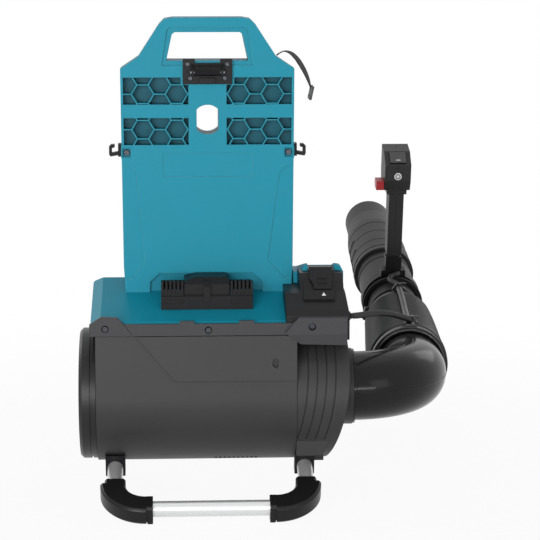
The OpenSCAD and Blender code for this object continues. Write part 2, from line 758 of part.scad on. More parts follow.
module fan_duct() color(charcoal) {
    difference() {
        union() {
            fan_tube(-138, 100, duct_r, duct_r - duct_wall);
            fan_tube(motor_x - 26, motor_x + motor_len + 22, hub_r + 1, stator_r + gap);
            // vanes between motor and duct
            for (k = [0:guide_vanes - 1]) translate([motor_x + 2, 0, fan_z]) rotate([k * 360 / guide_vanes, 0, 0])
                translate([0, -1.25, hub_r]) cube([motor_len, 2.5, duct_r - hub_r - 1]);
            for (x = [motor_x - 26, motor_x + motor_len + 10]) fan_tube(x, x + 4, hub_r, 6);
            for (x = [motor_x - 22.2, motor_x + motor_len + 0.1]) fan_tube(x, x + 10, 15, 11 + run);
            for (x = [motor_x - 22.2, motor_x + motor_len + 6]) fan_tube(x, x + 4, hub_r, 14);
        }
        fan_cylinder(motor_x - 40, motor_x + motor_len + 30, 6, 6);
        for (x = [motor_x - 22, motor_x + motor_len]) fan_cylinder(x, x + 10, 11 + run, 11 + run);
    }
    // feet that hold the duct in the case
    for (a = [45, 135, 225, 315], x = [-120, 80]) translate([x, 0, fan_z]) rotate([a, 0, 0])
        translate([0, -6, duct_r - 1]) cube([10, 12, case_r - wall - duct_r + 1 - gap]);
}

module shaft_bearings() color(steel)
    for (x = [motor_x - 21.5, motor_x + motor_len + 0.5]) fan_tube(x, x + 9, 11, shaft_r + run);

module motor_stator() color([0.5, 0.32, 0.16]) difference() {
    fan_cylinder(motor_x + 4, motor_x + motor_len - 4, stator_r, stator_r);
    fan_cylinder(motor_x, motor_x + motor_len, 19, 19);
    for (k = [0:11]) translate([motor_x, 0, fan_z]) rotate([k * 30, 0, 0]) translate([-1, -1.5, 17])
        cube([motor_len + 2, 3, 10]);
}

module motor_rotor() color(steel) {
    fan_cylinder(motor_x + 3, motor_x + motor_len - 3, 18, 18);
    fan_cylinder(fan_x - 8, motor_x + motor_len + 12, shaft_r, shaft_r);
}

module fan_wheel() color(black) difference() {
    union() {
        fan_cylinder(fan_x + 10, fan_x + fan_len, hub_r, hub_r);
        fan_cylinder(fan_x, fan_x + 10, hub_r - 12, hub_r);
        for (k = [0:fan_blades - 1]) translate([fan_x + 24, 0, fan_z]) rotate([k * 360 / fan_blades, 0, 0])
            rotate([0, 0, 38]) translate([-20, -1.4, hub_r - 6])
            cube([40, 2.8, duct_r - duct_wall - hub_r + 1.5]);
    }
    fan_cylinder(fan_x - 1, fan_x + fan_len + 1, shaft_r + run, shaft_r + run);
    fan_tube(fan_x + 14, fan_x + fan_len + 1, hub_r - 4, 10);
    // the blades' tips end just inside the duct
    fan_tube(fan_x - 20, fan_x + fan_len + 20, duct_r + 30, duct_r - duct_wall - 1);
}

module fan_nut() color(steel) difference() {
    translate([fan_x - 6.2, 0, fan_z]) rotate([0, 90, 0]) cylinder(h = 6, r = 8, $fn = 6);
    fan_cylinder(fan_x - 8, fan_x + 1, shaft_r + run, shaft_r + run);
}

// ---- outlet housing ----

outlet_r = 96;
outlet_end_r = 371;               // radius of its bowed end, about an axis along Y
outlet_end_x = -174;
outlet_end_z = fan_z + 55;

module bowed(inset) {
    translate([outlet_end_x, 120, outlet_end_z]) rotate([90, 0, 0]) cylinder(h = 240, r = outlet_end_r - inset, $fn = 120);
}

module outlet_shape(inset) {
    intersection() {
        fan_cylinder(case_right + gap, 210, outlet_r - inset, outlet_r - inset);
        bowed(inset);
    }
}

module outlet_housing() color(charcoal) difference() {
    union() {
        difference() {
            outlet_shape(0);
            difference() {
                intersection() {
                    fan_cylinder(case_right, 210, outlet_r - wall, outlet_r - wall);
                    bowed(wall);
                }
                to_elbow(case_right, duct_r + 3, elbow_r + 6);
                neck(172, 210, elbow_r + 5);
            }
        }
        neck(176, 206, elbow_r + 5);
        // block low on the rear, and a flat foot below
        along_y(-78, -62) polygon([[case_right + gap, 98], [169.6, 98], [159, 72.6], [case_right + gap, 72.6]]);
        intersection() {
            translate([case_right - 10, -33, fan_z - outlet_r]) cube([52, 73, 22]);
            bowed(0);
            translate([case_right + gap, -100, 0]) cube([100, 200, 300]);
        }
    }
    to_elbow(case_right - 1, duct_r + 1, elbow_r - 1);
    neck(189, 210, elbow_r - 1);
    neck(194, 210, elbow_r + gap);
    // curved grooves
    for (k = [0:3]) difference() {
        translate([k * 13 - 231.5, 120, outlet_end_z]) rotate([90, 0, 0]) difference() {
            cylinder(h = 240, r = 370.7, $fn = 120);
            translate([0, 0, -1]) cylinder(h = 242, r = 369.2, $fn = 120);
        }
        fan_cylinder(100, 220, outlet_r - 1.8, outlet_r - 1.8);
        translate([0, -200, -60]) cube([300, 400, 158]);
    }
}

// Cylinders on the elbow's axis, and the taper from the duct to it
module neck(x0, x1, r) {
    translate([x0, 0, elbow_z]) rotate([0, 90, 0]) cylinder(h = x1 - x0, r = r);
}

module to_elbow(x0, r0, r1) {
    hull() {
        fan_cylinder(x0, x0 + 0.5, r0, r0);
        neck(189.5, 190, r1);
    }
}

// ---- electronics ----

module controller_box() color([0.12, 0.3, 0.18]) {
    translate([-70, -36, case_top_z + gap]) difference() {
        cube([130, 80, 18]);
        translate([2, 2, 14]) cube([126, 76, 10]);
    }
    for (k = [0:6]) translate([-58 + k * 17, -28, case_top_z + 12]) cube([5, 64, 9]);
}

tower_low = case_top_z - 8;
tower_left = upper_right + gap;

module tower_profile(inset) {
    polygon([[case_rear_y + inset, tower_low - (inset > 0 ? 2 : 0)], [case_rear_y + inset, case_top_z + 27],
        [-78 + inset, case_top_z + 34], [-52 + inset, shoulder_top - 2 - inset],
        [-40, shoulder_top - inset], [60 - inset, shoulder_top - inset], [60 - inset, tower_low - (inset > 0 ? 2 : 0)]]);
}

module neck_profile() {
    polygon([[-84, 262], [-82, 273], [-60, 295], [-33, 321], [-25, neck_top], [9, neck_top],
        [62, neck_top - 12], [62, 262]]);
}

module port_frame(z) {
    translate([tower_mid, port_y, port_z]) rotate([port_tilt, 0, 0]) translate([0, 0, z]) children();
}

module socket_tower() color(black) difference() {
    union() {
        intersection() {
            along_x(tower_left, tower_right) tower_profile(0);
            along_y(-100, 100) polygon([[tower_left, 200], [tower_left, shoulder_top],
                [tower_right - 4, shoulder_top + 1], [tower_right, 278], [tower_right, 200]]);
        }
        along_x(neck_left, neck_right) neck_profile();
        // the flap's seat
        along_x(tower_mid + 2 - flap_slot / 2, tower_mid + 2 + flap_slot / 2)
            polygon([[-60, 294], [-60, 295], [-28, 327], [-22, 331], [20, 330], [38, 326], [38, 300]]);
        // collar round the port
        port_frame(-14) linear_extrude(15.5) {
            circle(port_r + 8);
            translate([-25.5, -34.8]) square([44, 34.8]);
        }
        port_frame(0) translate([-25.5, -34.8, -5]) cube([44, 16.5, 10.4]);
    }
    difference() {
        along_x(tower_left + wall, tower_right - wall) tower_profile(wall);
        port_frame(-36) cylinder(h = 40, r = port_r + 3);
    }
    port_frame(-34) cylinder(h = 60, r = port_r);
    // the fan case and the outlet housing's round top pass below
    fan_cylinder(upper_right, 230, outlet_r + gap, outlet_r + gap);
    translate([upper_right, -100, 200]) cube([case_right + gap - upper_right, 200, case_top_z + gap - 200]);
    strip_bores();
    // the frame's foot stands behind its left part
    translate([upper_right - 5, frame_rear - 1, slope_at(frame_rear - 1)]) cube([20.6, 60, 60]);
    // cable outlet on the right
    translate([tower_right - 8, -48, case_top_z + 19]) rotate([0, 90, 0]) cylinder(h = 12, r = 6.5);
}

module power_socket() color(charcoal) port_frame(-33.5) {
    difference() {
        cylinder(h = 33, r = port_r - gap);
        translate([0, 0, 4]) cylinder(h = 40, r = port_r - 2.5);
    }
    for (a = [90, 210, 330]) rotate([0, 0, a]) translate([6, 0, 3]) cylinder(h = 14, r = 2);
}

cap_thick = 3.6;
cap_back = port_r + 7;            // from the port's centre to the cap's hinge

module socket_cap() color(black) port_frame(1.5 + gap) {
    linear_extrude(cap_thick) polygon([[-16.2, cap_back], [-16.2, 2], [-11, -9], [-10.5, -16], [14, -16],
        [15, -9], [16.8, 2], [16.8, cap_back]]);
    translate([-16.2, cap_back, cap_thick / 2]) rotate([0, 90, 0]) cylinder(h = 33, r = cap_thick / 2);
    // pull lip and two ridges
    translate([-9.5, -17.6, 0]) cube([22.5, 2.5, cap_thick + 1.2]);
    for (k = [0, 1]) translate([-4.7, k * 8 - 7, cap_thick - 0.1]) cube([13, 1.8, 1.3]);
    translate([0, 0, -6]) difference() {
        cylinder(h = 6.1, r = port_r - 3.2);
        translate([0, 0, -1]) cylinder(h = 6, r = port_r - 5);
    }
}

// ---- stand ----

bar_half = leg_x - leg_bend;
leg_end = (stand_rear - 47) / cos(leg_slope);

module stand_corner_path(r, ri, bar, leg) {
    // from the bar, round the bend and up the leg
    translate([bar_half, leg_bend, 0]) rotate([0, 0, -90]) rotate_extrude(angle = 90) translate([leg_bend, 0])
        difference() {
            circle(r);
            if (ri > 0) circle(ri);
        }
    translate([bar_half - bar, 0, 0]) rotate([0, 90, 0]) tube(bar, r, ri);
    translate([leg_x, leg_bend, 0]) rotate([-90, 0, 0]) tube(leg, r, ri);
}

module tube(h, r, ri) {
    difference() {
        cylinder(h = h, r = r);
        if (ri > 0) translate([0, 0, -1]) cylinder(h = h + 2, r = ri);
    }
}

module stand_tube() color(silver) stand_frame() {
    for (m = [0, 1]) mirror([m, 0, 0]) stand_corner_path(tube_r, tube_r - 1.5, bar_half, leg_end - leg_bend);
}

corner_bar = 9;                   // how far a corner cover reaches along the bar and up the leg
corner_leg = 10;

module corner_section(out) {
    difference() {
        intersection() {
            translate([-15.5, -14]) square([15.5 + out, 27]);
            translate([(out - 15.5) / 2, 0]) scale([(out + 15.5) / 31, 1]) circle(18);
        }
        circle(tube_r + gap);
    }
}

module stand_corner(side) color(black) mirror([side < 0 ? 1 : 0, 0, 0]) {
    stand_frame() {
        translate([bar_half, leg_bend, 0]) rotate([0, 0, -90]) rotate_extrude(angle = 90)
            translate([leg_bend, 0]) corner_section(20);
        translate([bar_half - corner_bar, 0, 0]) rotate([90, 0, 90]) linear_extrude(corner_bar) corner_section(15.5);
        translate([leg_x, leg_bend + corner_leg, 0]) rotate([90, 0, 0]) linear_extrude(corner_leg)
            corner_section(14);
    }
    // foot pad on the floor
    difference() {
        translate([bar_half - corner_bar, -stand_rear - 11, 0]) cube([15, 22, 12]);
        stand_frame() rotate([0, 90, 0]) cylinder(h = 300, r = tube_r + gap);
        translate([bar_half, -stand_rear - 12, 4]) rotate([0, 25, 0]) translate([0, 0, -20]) cube([20, 24, 20]);
    }
}

module stand_corner_left() stand_corner(-1);
module stand_corner_right() stand_corner(1);

module stand_brackets() color(black) for (s = [-1, 1]) difference() {
    union() {
        // socket round the leg's end
        stand_frame() translate([s * leg_x - 14, leg_end - 10, -14]) cube([28, 18, 34]);
    }
    stand_frame() translate([s * leg_x, 0, 0]) rotate([-90, 0, 0]) cylinder(h = leg_end + gap, r = tube_r + gap);
    under_cases();
    translate([-300, -100, fan_z]) cube([600, 200, 100]);
}

// Room for the round cases above the stand and the feet
module under_cases() {
    fan_cylinder(-case_left - 40, case_right + gap, case_r + gap, case_r + gap);
    fan_cylinder(case_right, case_right + 100, outlet_r + gap, outlet_r + gap);
}

foot_x = [-138, 143];

module front_foot(x) color(black) difference() {
    along_x(x - 7, x + 7) polygon([[114, 0], [90, 0], [87, 6], [50, 66], [62, fan_z - 40], [98, fan_z - 40],
        [117, 12], [117, 3]]);
    under_cases();
}

module front_foot_left() front_foot(foot_x[0]);
module front_foot_right() front_foot(foot_x[1]);

// ---- elbow and flexible hose ----

module elbow_section(r, w) {
    difference() {
        circle(r);
        circle(r - w);
    }
}

module elbow_pipe() color(black) {
    translate([195, 0, elbow_z]) rotate([0, 90, 0]) linear_extrude(elbow_x - 195) elbow_section(elbow_r, pipe_wall);
    translate([elbow_x, elbow_bend, elbow_z]) rotate([0, 0, -90]) rotate_extrude(angle = 90)
        translate([elbow_bend, 0]) elbow_section(elbow_r, pipe_wall);
    translate([elbow_out_x, elbow_out_y, elbow_z]) rotate([90, 0, 0]) linear_extrude(elbow_out_y - elbow_bend)
        elbow_section(elbow_r, pipe_wall);
    // mould seam
    translate([elbow_x, elbow_bend, elbow_z]) rotate([0, 0, -90]) rotate_extrude(angle = 90)
        translate([elbow_bend + elbow_r - 0.5, -0.5]) square([1.2, 1]);
    // flange outside the outlet housing
    translate([206.3, 0, elbow_z]) rotate([0, 90, 0]) linear_extrude(3) elbow_section(elbow_r + 4, 5);
}

band_in = cuff_bore_rear + hose_wall + gap;

module hose_band(ri, w, lug_angle) {
    difference() {
        union() {
            cylinder(h = w, r = ri + 2.2);
            rotate([0, 0, lug_angle]) translate([ri - 3, -9, 1]) cube([14, 7, w - 2]);
            rotate([0, 0, lug_angle]) translate([ri - 3, 2, 1]) cube([14, 7, w - 2]);
        }
        translate([0, 0, -1]) cylinder(h = w + 2, r = ri);
    }
    rotate([0, 0, lug_angle]) translate([ri + 6, -12, w / 2]) rotate([-90, 0, 0]) cylinder(h = 23, r = 2.4);
}

module hose_band_rear() color(black)
    translate([elbow_out_x, elbow_out_y - 13, elbow_z]) rotate([-90, 0, 0]) hose_band(band_in, 13, 180);

function hose_r(t) = hose_r_start + (hose_r_end - hose_r_start) * t * t;
// One ring of the hose at share t of its length, with radius r
function hose_ring_at(t, r) = ring(bez(hose_points, t), bez_dir(hose_points, t), [1, 0, 0], r, r, hose_sides);
function hose_end_ring(c, d, r) = ring(c, d, [1, 0, 0], r, r, hose_sides);
rib_deep = 3;

// Outer ridges and valleys of a half from share t0 to t1
function rib_rings(t0, t1) = [for (k = [0:hose_ribs - 1]) for (h = [0, 1])
    let (t = t0 + (t1 - t0) * (k + 0.25 + h * 0.5) / hose_ribs)
    hose_ring_at(t, hose_r(t) - (h == 0 ? 0 : rib_deep))];
function bore_rings(t0, t1) = [for (k = [6:-1:0]) let (t = t0 + (t1 - t0) * k / 6)
    hose_ring_at(t, hose_r(t) - rib_deep - hose_wall)];

module hose_rear() color(black) {
    d = [0, 1, 0];
    c0 = [elbow_out_x, elbow_out_y - 14, elbow_z];
    c1 = [elbow_out_x, elbow_out_y + 1, elbow_z];
    swept_tube(concat([hose_end_ring(c0, d, cuff_bore_rear + hose_wall), hose_end_ring(c1, d, cuff_bore_rear + hose_wall)],
        rib_rings(0, 0.5 - ring_half), [hose_ring_at(0.5 - ring_half, hose_r(0.5) - rib_deep)],
        bore_rings(0, 0.5 - ring_half), [hose_end_ring(c1, d, cuff_bore_rear - 3),
        hose_end_ring(c1, d, cuff_bore_rear), hose_end_ring(c0, d, cuff_bore_rear)]));
}

module hose_front() color(black) {
    e0 = hose_tip;
    e1 = hose_tip + 18 * pipe_dir;
    swept_tube(concat([hose_ring_at(0.5 + ring_half, hose_r(0.5) - rib_deep)],
        rib_rings(0.5 + ring_half, 1), [hose_end_ring(e0 + 1.5 * pipe_dir, pipe_dir, cuff_out_front),
        hose_end_ring(e1, pipe_dir, cuff_out_front), hose_end_ring(e1, pipe_dir, cuff_bore_front),
        hose_end_ring(e0 + 2 * pipe_dir, pipe_dir, cuff_bore_front)],
        bore_rings(0.5 + ring_half, 1)));
}

module hose_ring() color(black) {
    c = bez(hose_points, 0.5);
    d = bez_dir(hose_points, 0.5);
    w = norm(bez(hose_points, 0.5 + ring_half) - bez(hose_points, 0.5 - ring_half)) - 2 * gap;
    translate(c) rotate([-acos(d[2]), 0, atan2(-d[0], d[1])]) difference() {
        translate([0, 0, -w / 2]) cylinder(h = w, r = hose_r(0.5));
        translate([0, 0, -w]) cylinder(h = 2 * w, r = hose_r(0.5) - rib_deep - hose_wall);
    }
}

module hose_band_front() color(black) pipe_frame(-13) hose_band(cuff_out_front + gap, 12, 195);

// ---- pipes ----

bush_at = [74, 138];

module inner_pipe() color(black) pipe_frame() {
    translate([0, 0, -13.5]) tube(168, inner_pipe_r, inner_pipe_r - pipe_wall);
    for (z = bush_at) translate([0, 0, z]) tube(10, swivel_r - pipe_wall - run, inner_pipe_r - 0.5);
    // stop collars on both sides of the swivel pipe's inner lip
    translate([0, 0, 24]) tube(3, inner_pipe_r + 2, inner_pipe_r - 0.5);
}

module swivel_pipe() color(charcoal) pipe_frame() {
    tube_at(swivel_start, swivel_end, swivel_r, swivel_r - pipe_wall);
    // flared rear rim
    translate([0, 0, swivel_start]) rotate_extrude() polygon([[swivel_r - 1, 0], [swivel_r + 4, -2],
        [swivel_r + 5, 0], [swivel_r + 4, 3], [swivel_r, 12], [swivel_r - 1, 12]]);
    // stud that the nozzle's slots lock on
    translate([1 - swivel_r, 0, nozzle_start + 16 + 2 * lock_pitch]) rotate([0, -90, 0]) cylinder(h = 4, r = 3);
    // front bead
    translate([0, 0, nozzle_start - 26]) tube(2, swivel_r + 0.9, swivel_r - 1);
}

module tube_at(z0, z1, r, ri) {
    translate([0, 0, z0]) tube(z1 - z0, r, ri);
}

socket_len = 158;
mouth_len = 50;

module nozzle_pipe() color(charcoal) pipe_frame(nozzle_start) difference() {
    union() {
        rotate_extrude() polygon([[swivel_r + run, 0], [swivel_r + 5.5, 0], [swivel_r + 6.2, 2],
            [swivel_r + 5.6, 12], [swivel_r + 2.6, socket_len], [nozzle_r, nozzle_len - mouth_len],
            [nozzle_r, nozzle_len], [nozzle_r - pipe_wall, nozzle_len],
            [nozzle_r - pipe_wall, nozzle_len - mouth_len], [swivel_r + run, socket_len]]);
        // raised rings at the lock steps
        for (k = [0:3]) translate([0, 0, 17 + k * lock_pitch - (k > 0 ? 12 : 0)])
            tube(2.2, swivel_r + 6 - k * 0.85, swivel_r + 1);
    }
    // L-shaped lock slots in the left wall, joined by a straight way
    for (k = [0:2]) {
        translate([0, 0, 12.5 + k * lock_pitch]) rotate([0, 0, 180 - 6]) slot_arc(7, 37);
    }
    translate([-swivel_r - 10, -3.4, 10]) cube([12, 6.8, 3 * lock_pitch - 26]);
}

// A slot of width w along the pipe and so many degrees round it, cut to the bore
module slot_arc(w, degrees) {
    rotate_extrude(angle = degrees) translate([swivel_r - 2, 0]) square([10, w]);
}

// ---- control handle ----

cable_u = 57;                     // where the cable enters the clamp, above the pipe's axis
cable_off = 7;                    // and to the right of it

module handle_clamp() color(black) pipe_frame() difference() {
    union() {
        tube_at(clamp_start + 6, clamp_start + clamp_len, swivel_r + gap + 4, swivel_r + gap);
        translate([-grip_w / 2 - 1, -clamp_base - 30, clamp_start - 4])
            cube([grip_w + 2, clamp_base + 30 - swivel_r, clamp_len]);
        translate([-20, -clamp_base - 6, clamp_start - 2]) cube([40, clamp_base + 6 - swivel_r + 9, clamp_len - 4]);
        // boot round the cable
        translate([cable_off, -cable_u, clamp_start - 9]) cylinder(h = 8, r = 7);
        // clamp ears below the pipe
        translate([-7, swivel_r + 2, clamp_start + 8]) cube([14, 12, clamp_len - 10]);
    }
    tube_at(clamp_start - 14, clamp_start + clamp_len + 10, swivel_r + gap, 0);
    // the swivel pipe's flared rim
    tube_at(clamp_start - 14, clamp_start + 5, swivel_r + 5 + gap, 0);
    translate([-1, swivel_r - 2, clamp_start]) cube([2, 20, clamp_len + 4]);
    translate([-20, swivel_r + 9, clamp_start + 17]) rotate([0, 90, 0]) cylinder(h = 40, r = 2.1);
    // socket for the handle's foot
    translate([-grip_w / 2 + 2 - gap, -clamp_base - 60, foot_from - gap])
        cube([grip_w - 4 + 2 * gap, 60 - 4, foot_to - foot_from + 2 * gap]);
    translate([cable_off, -cable_u, clamp_start - 12]) cylinder(h = 20, r = 4.3);
}

foot_from = handle_mid - 7.6;     // the handle's foot along the pipe
foot_to = handle_mid + 10;

module handle_shape(half, inset) {
    g0 = handle_mid - grip_d / 2;
    g1 = handle_mid + grip_d / 2;
    intersection() {
        union() {
            handle_profile(-grip_w / 2 + inset, grip_w / 2 - inset) polygon([
                [g0 + 4 + inset, clamp_base + 35 + inset], [g1 - 3 - inset, clamp_base + 35 + inset],
                [g1 - inset, clamp_base + 50], [g1 + 2 - inset, head_base - 20], [g1 + 6 - inset, head_base + 20],
                [g0 - 2 + inset, head_base + 20], [g0 + inset, head_base - 20], [g0 + 2 + inset, clamp_base + 50]]);
            handle_profile(-grip_w / 2 + 2 + inset, grip_w / 2 - 2 - inset) polygon([
                [foot_from + inset, clamp_base + 4 + gap + inset], [foot_to - inset, clamp_base + 4 + gap + inset],
                [foot_to - inset, clamp_base + 40], [foot_from + inset, clamp_base + 40]]);
            handle_profile(-head_w / 2 + inset, head_w / 2 - inset) polygon([
                [g0 - 4 + inset, head_base + 12 + inset], [g1 + 8 - inset, head_base + 12 + inset],
                [g1 + 14 - inset, head_base + 30], [g1 + 12 - inset, handle_top - inset],
                [g0 + 12, handle_top - 2 - inset], [g0 - 12 + inset, handle_top - 18 - inset],
                [g0 - 12 + inset, head_base + 30]]);
            // the head narrows to the grip
            handle_profile(-head_w / 2 + 5 + inset, head_w / 2 - 5 - inset) polygon([
                [g0 - 2 + inset, head_base + 4 + inset], [g1 + 6 - inset, head_base + 4 + inset],
                [g1 + 8 - inset, head_base + 20], [g0 - 4 + inset, head_base + 20]]);
        }
        pipe_frame() translate([half < 0 ? -60 : gap / 2, -400, 0]) cube([60 - gap / 2, 400, 200]);
    }
}

trigger_s = handle_mid + grip_d / 2;
trigger_pin_u = head_base + 4;

module handle_cuts() {
    // hollow head and grip
    handle_profile(-head_w / 2 + 3, head_w / 2 - 3) polygon([[handle_mid - 22, head_base + 24],
        [handle_mid + 24, head_base + 24], [handle_mid + 24, handle_top - 6],
        [handle_mid - 4, handle_top - 8], [handle_mid - 22, handle_top - 24]]);
    handle_profile(-grip_w / 2 + 3, grip_w / 2 - 3) polygon([[handle_mid - 11, clamp_base + 42],
        [handle_mid + 8, clamp_base + 42], [handle_mid + 8, head_base + 30],
        [handle_mid - 11, head_base + 30]]);
    // slot of the trigger and its pin
    handle_profile(-7 - gap, 7 + gap) polygon([[trigger_s - 10, head_base - 46], [trigger_s + 20, head_base - 46],
        [trigger_s + 20, head_base + 9], [trigger_s - 10, head_base + 9]]);
    // bores of the power button and the cruise lever
    pipe_frame() translate([0, -head_base - 38, handle_mid - 60]) cylinder(h = 46, r = button_r + run + 0.05);
    pipe_frame() translate([-60, -head_base - 20, handle_mid - 4]) rotate([0, 90, 0]) cylinder(h = 50, r = 5 + run);
}

module handle_half(side) color(black) difference() {
    handle_shape(side, 0);
    handle_cuts();
    display_body(gap);
    trigger_pin_bore();
}

module handle_left() handle_half(-1);
module handle_right() handle_half(1);

module trigger_pin_bore() {
    pipe_frame() translate([-10, -trigger_pin_u, trigger_s - 3]) rotate([0, 90, 0]) cylinder(h = 20, r = 2 + run);
}

module trigger() color(black) {
    handle_profile(-7, 7) polygon([[trigger_s - 5.5, trigger_pin_u + 2], [trigger_s + 4, trigger_pin_u + 2],
        [trigger_s + 9, trigger_pin_u - 16], [trigger_s + 11.5, trigger_pin_u - 34],
        [trigger_s + 10.5, trigger_pin_u - 44], [trigger_s + 7, trigger_pin_u - 45],
        [trigger_s + 6, trigger_pin_u - 30], [trigger_s + 2, trigger_pin_u - 14],
        [trigger_s - 5.5, trigger_pin_u - 8]]);
    pipe_frame() translate([-9.5, -trigger_pin_u, trigger_s - 3]) rotate([0, 90, 0]) cylinder(h = 19, r = 2);
}

// Return spring behind the trigger, along the pipe's direction
module trigger_spring() color(steel) pipe_frame()
    translate([0, -trigger_pin_u + 26, trigger_s - 9.6]) {
        q = [for (i = [0:40]) [3 * cos(45 * i), 3 * sin(45 * i), 0.6 + i * 0.33]];
        swept_solid([for (i = [0:40]) ring(q[i], heading(q, i), [0, 0, 1], 0.45, 0.45, 6)]);
    }

module cruise_lever() color([0.75, 0.07, 0.1]) pipe_frame() translate([0, -head_base - 20, handle_mid - 4]) {
    translate([-head_w / 2 - 12, 0, 0]) rotate([0, 90, 0]) cylinder(h = 17, r = 5);
    translate([-head_w / 2 - 13, 0, 0]) rotate([0, 90, 0]) cylinder(h = 12.5, r = 8);
    translate([-head_w / 2 - 13, -8, -19]) cube([12.5, 15, 19]);
}

module power_button() color([0.9, 0.9, 0.9]) pipe_frame() translate([0, -head_base - 38, handle_mid - grip_d / 2 - 12.8])
    difference() {
        cylinder(h = 9, r = button_r);
        translate([0, 0, -0.1]) tube(0.6, 3.4, 2.4);
    }

// Slanted display on the head's top
module display_body(grow) {
    pipe_frame() translate([0, -handle_top + 9, handle_mid - 17]) rotate([-57, 0, 0])
        translate([-13 - grow, -11 - grow, grow > 0 ? -9 : -0.9])
        cube([26 + 2 * grow, 22 + 2 * grow, grow > 0 ? 11.1 + grow : 3]);
}

module display_window() color([0.1, 0.1, 0.12]) display_body(0);

// ---- cables ----

conduit_r = 4.6;
// Route points, chosen by hand
case_route = [[196.4, -48, 268.7], [206, -48, 268.7], [219, -38, 268], [234, -14, 265], [252, 22, 259], [270, 66, 249],
    [288, 110, 237], [302, 134, 228.5], [309, 146, 224]];
// the lead lies along the hose's top
function over_hose(t) = let (d = bez_dir(hose_points, t)) bez(hose_points, t) + (hose_r(t) + 5.4) * unit([0, -d[2], d[1]]);
rear_route = concat([[309.5, 149, 223.6]], [for (t = [0.06, 0.17, 0.28, 0.39, 0.497]) over_hose(t)]);
front_route = [for (t = [0.5, 0.62, 0.75, 0.88, 1]) over_hose(t)];
handle_route = [over_hose(1) + 0.8 * pipe_dir, [312, 350, 242], [311, 363, 243], [305, 375, 244], [302.5, 386, 245.5], [307, 397, 249],
    [314, 401.5, 250.4], [318.5, 407, 251.6], [318.5, 412, 252.7], [318.4, 416.3, 253.6]];

function cord_rings(q, side, r, n) = [for (i = [0:len(q) - 1]) ring(q[i], heading(q, i), side, r, r, n)];

module cable_case() color(black) {
    q = route(case_route, 10);
    m = len(q) - 1;
    swept_solid([for (i = [0:m]) ring(q[i], heading(q, i), [0, 0, 1],
        i < 3 || i > m - 3 || i % 2 == 0 ? conduit_r : conduit_r - 0.9,
        i < 3 || i > m - 3 || i % 2 == 0 ? conduit_r : conduit_r - 0.9, 8)]);
}

module cable_rear() color(black)
    swept_solid(cord_rings(route(rear_route, 3), [1, 0, 0], conduit_r, 10));

module cable_front() color(black)
    swept_solid(cord_rings(route(front_route, 3), [1, 0, 0], conduit_r, 10));

module cable_handle() color(black)
    swept_solid(cord_rings(route(handle_route, 4), [1, 0, 0], 3.8, 10));

module cable_fittings() color(black) {
    // gland on the tower and clip on the rear hose band
    translate([tower_right - 5, -48, case_top_z + 19]) rotate([0, 90, 0]) tube(9, 6.2, conduit_r + gap);
}

// ---- harness ----

// A crowned pad with drawn-in edges and sewn channels: a grid on its front, flat behind
function crown(a) = 1 - pow(abs(a), 4);
pad_cols = 14;
pad_rows = 16;

module pad(w, h, base, deep, channels) {
    n = pad_cols + 1;
    front = [for (j = [0:pad_rows]) for (i = [0:pad_cols])
        let (a = 2 * i / pad_cols - 1, b = 2 * j / pad_rows - 1,
            draw_in = 1 - 0.03 * (1 - a * a) * pow(abs(b), 3), pull = 1 - 0.03 * (1 - b * b) * pow(abs(a), 3),
            seam = channels > 0 ? 1 - 0.3 * pow(abs(cos(90 * channels * a)), 6) : 1)
        [a * w / 2 * pull, base + 2 + (deep - 2) * crown(a) * crown(b) * seam, b * h / 2 * draw_in]];
    back = [for (p = front) [p[0], base, p[2]]];
    m = len(front);
    edge = concat([for (i = [0:pad_cols - 1]) [i, i + 1]],
        [for (j = [0:pad_rows - 1]) [j * n + pad_cols, (j + 1) * n + pad_cols]],
        [for (i = [pad_cols:-1:1]) [pad_rows * n + i, pad_rows * n + i - 1]],
        [for (j = [pad_rows:-1:1]) [j * n, (j - 1) * n]]);
    polyhedron(concat(front, back), concat(
        [for (j = [0:pad_rows - 1]) for (i = [0:pad_cols - 1]) let (a = j * n + i)
            each [[a, a + n + 1, a + 1], [a, a + n, a + n + 1],
                [m + a, m + a + 1, m + a + n + 1], [m + a, m + a + n + 1, m + a + n]]],
        [for (e = edge) each [[e[0], e[1], m + e[1]], [e[0], m + e[1], m + e[0]]]]));
}

module back_pad() color([0.1, 0.1, 0.11]) translate([0, 0, 446]) pad(150, 110, cover_front + gap, 24, 3);

module hip_pad() color([0.1, 0.1, 0.11]) translate([0, 0, 350]) pad(160, 74, cover_front + gap, 34, 2);

strap_route = [[0, -6, 0], [0, 24, 12], [2, 58, 4], [6, 82, -32], [12, 92, -84], [20, 86, -140], [28, 66, -188],
    [35, 34, -218], [38, -3, -226]];

module shoulder_straps() color([0.1, 0.1, 0.11]) for (s = [-1, 1]) {
    q = [for (p = route(strap_route, 3)) [s * (62 + p[0]), cover_front + 4 + p[1], shoulder_z - 8.5 + p[2]]];
    m = len(q) - 1;
    swept_solid([for (i = [0:m]) let (e = min(i, m - i) / 5, f = e < 1 ? e : 1)
        ring(q[i], heading(q, i), [1, 0, 0], 14 + 15 * f, 2 + 5 * f, 10)]);
}

tail_route = [[99.5, 40, shoulder_z + 29.3], [112, 40, shoulder_z + 34], [frame_half + 4.5, 32, shoulder_z + 25],
    [frame_half + 17.5, 26, shoulder_z + 3], [frame_half + 22.5, 26, shoulder_z - 13]];

module strap_tail() color([0.08, 0.08, 0.09]) {
    q = route(tail_route, 3);
    swept_solid([for (i = [0:len(q) - 1]) ring(q[i], heading(q, i), [0, 1, 0], 11, 1.2, 8)]);
    translate([frame_half + 24.5, 26, shoulder_z - 23]) rotate([0, 12, 0]) difference() {
        translate([-4, -15, -11]) cube([8, 30, 22]);
        translate([-5, -11, 2]) cube([10, 22, 4]);
        translate([-5, -11, -6]) cube([10, 22, 4]);
    }
}

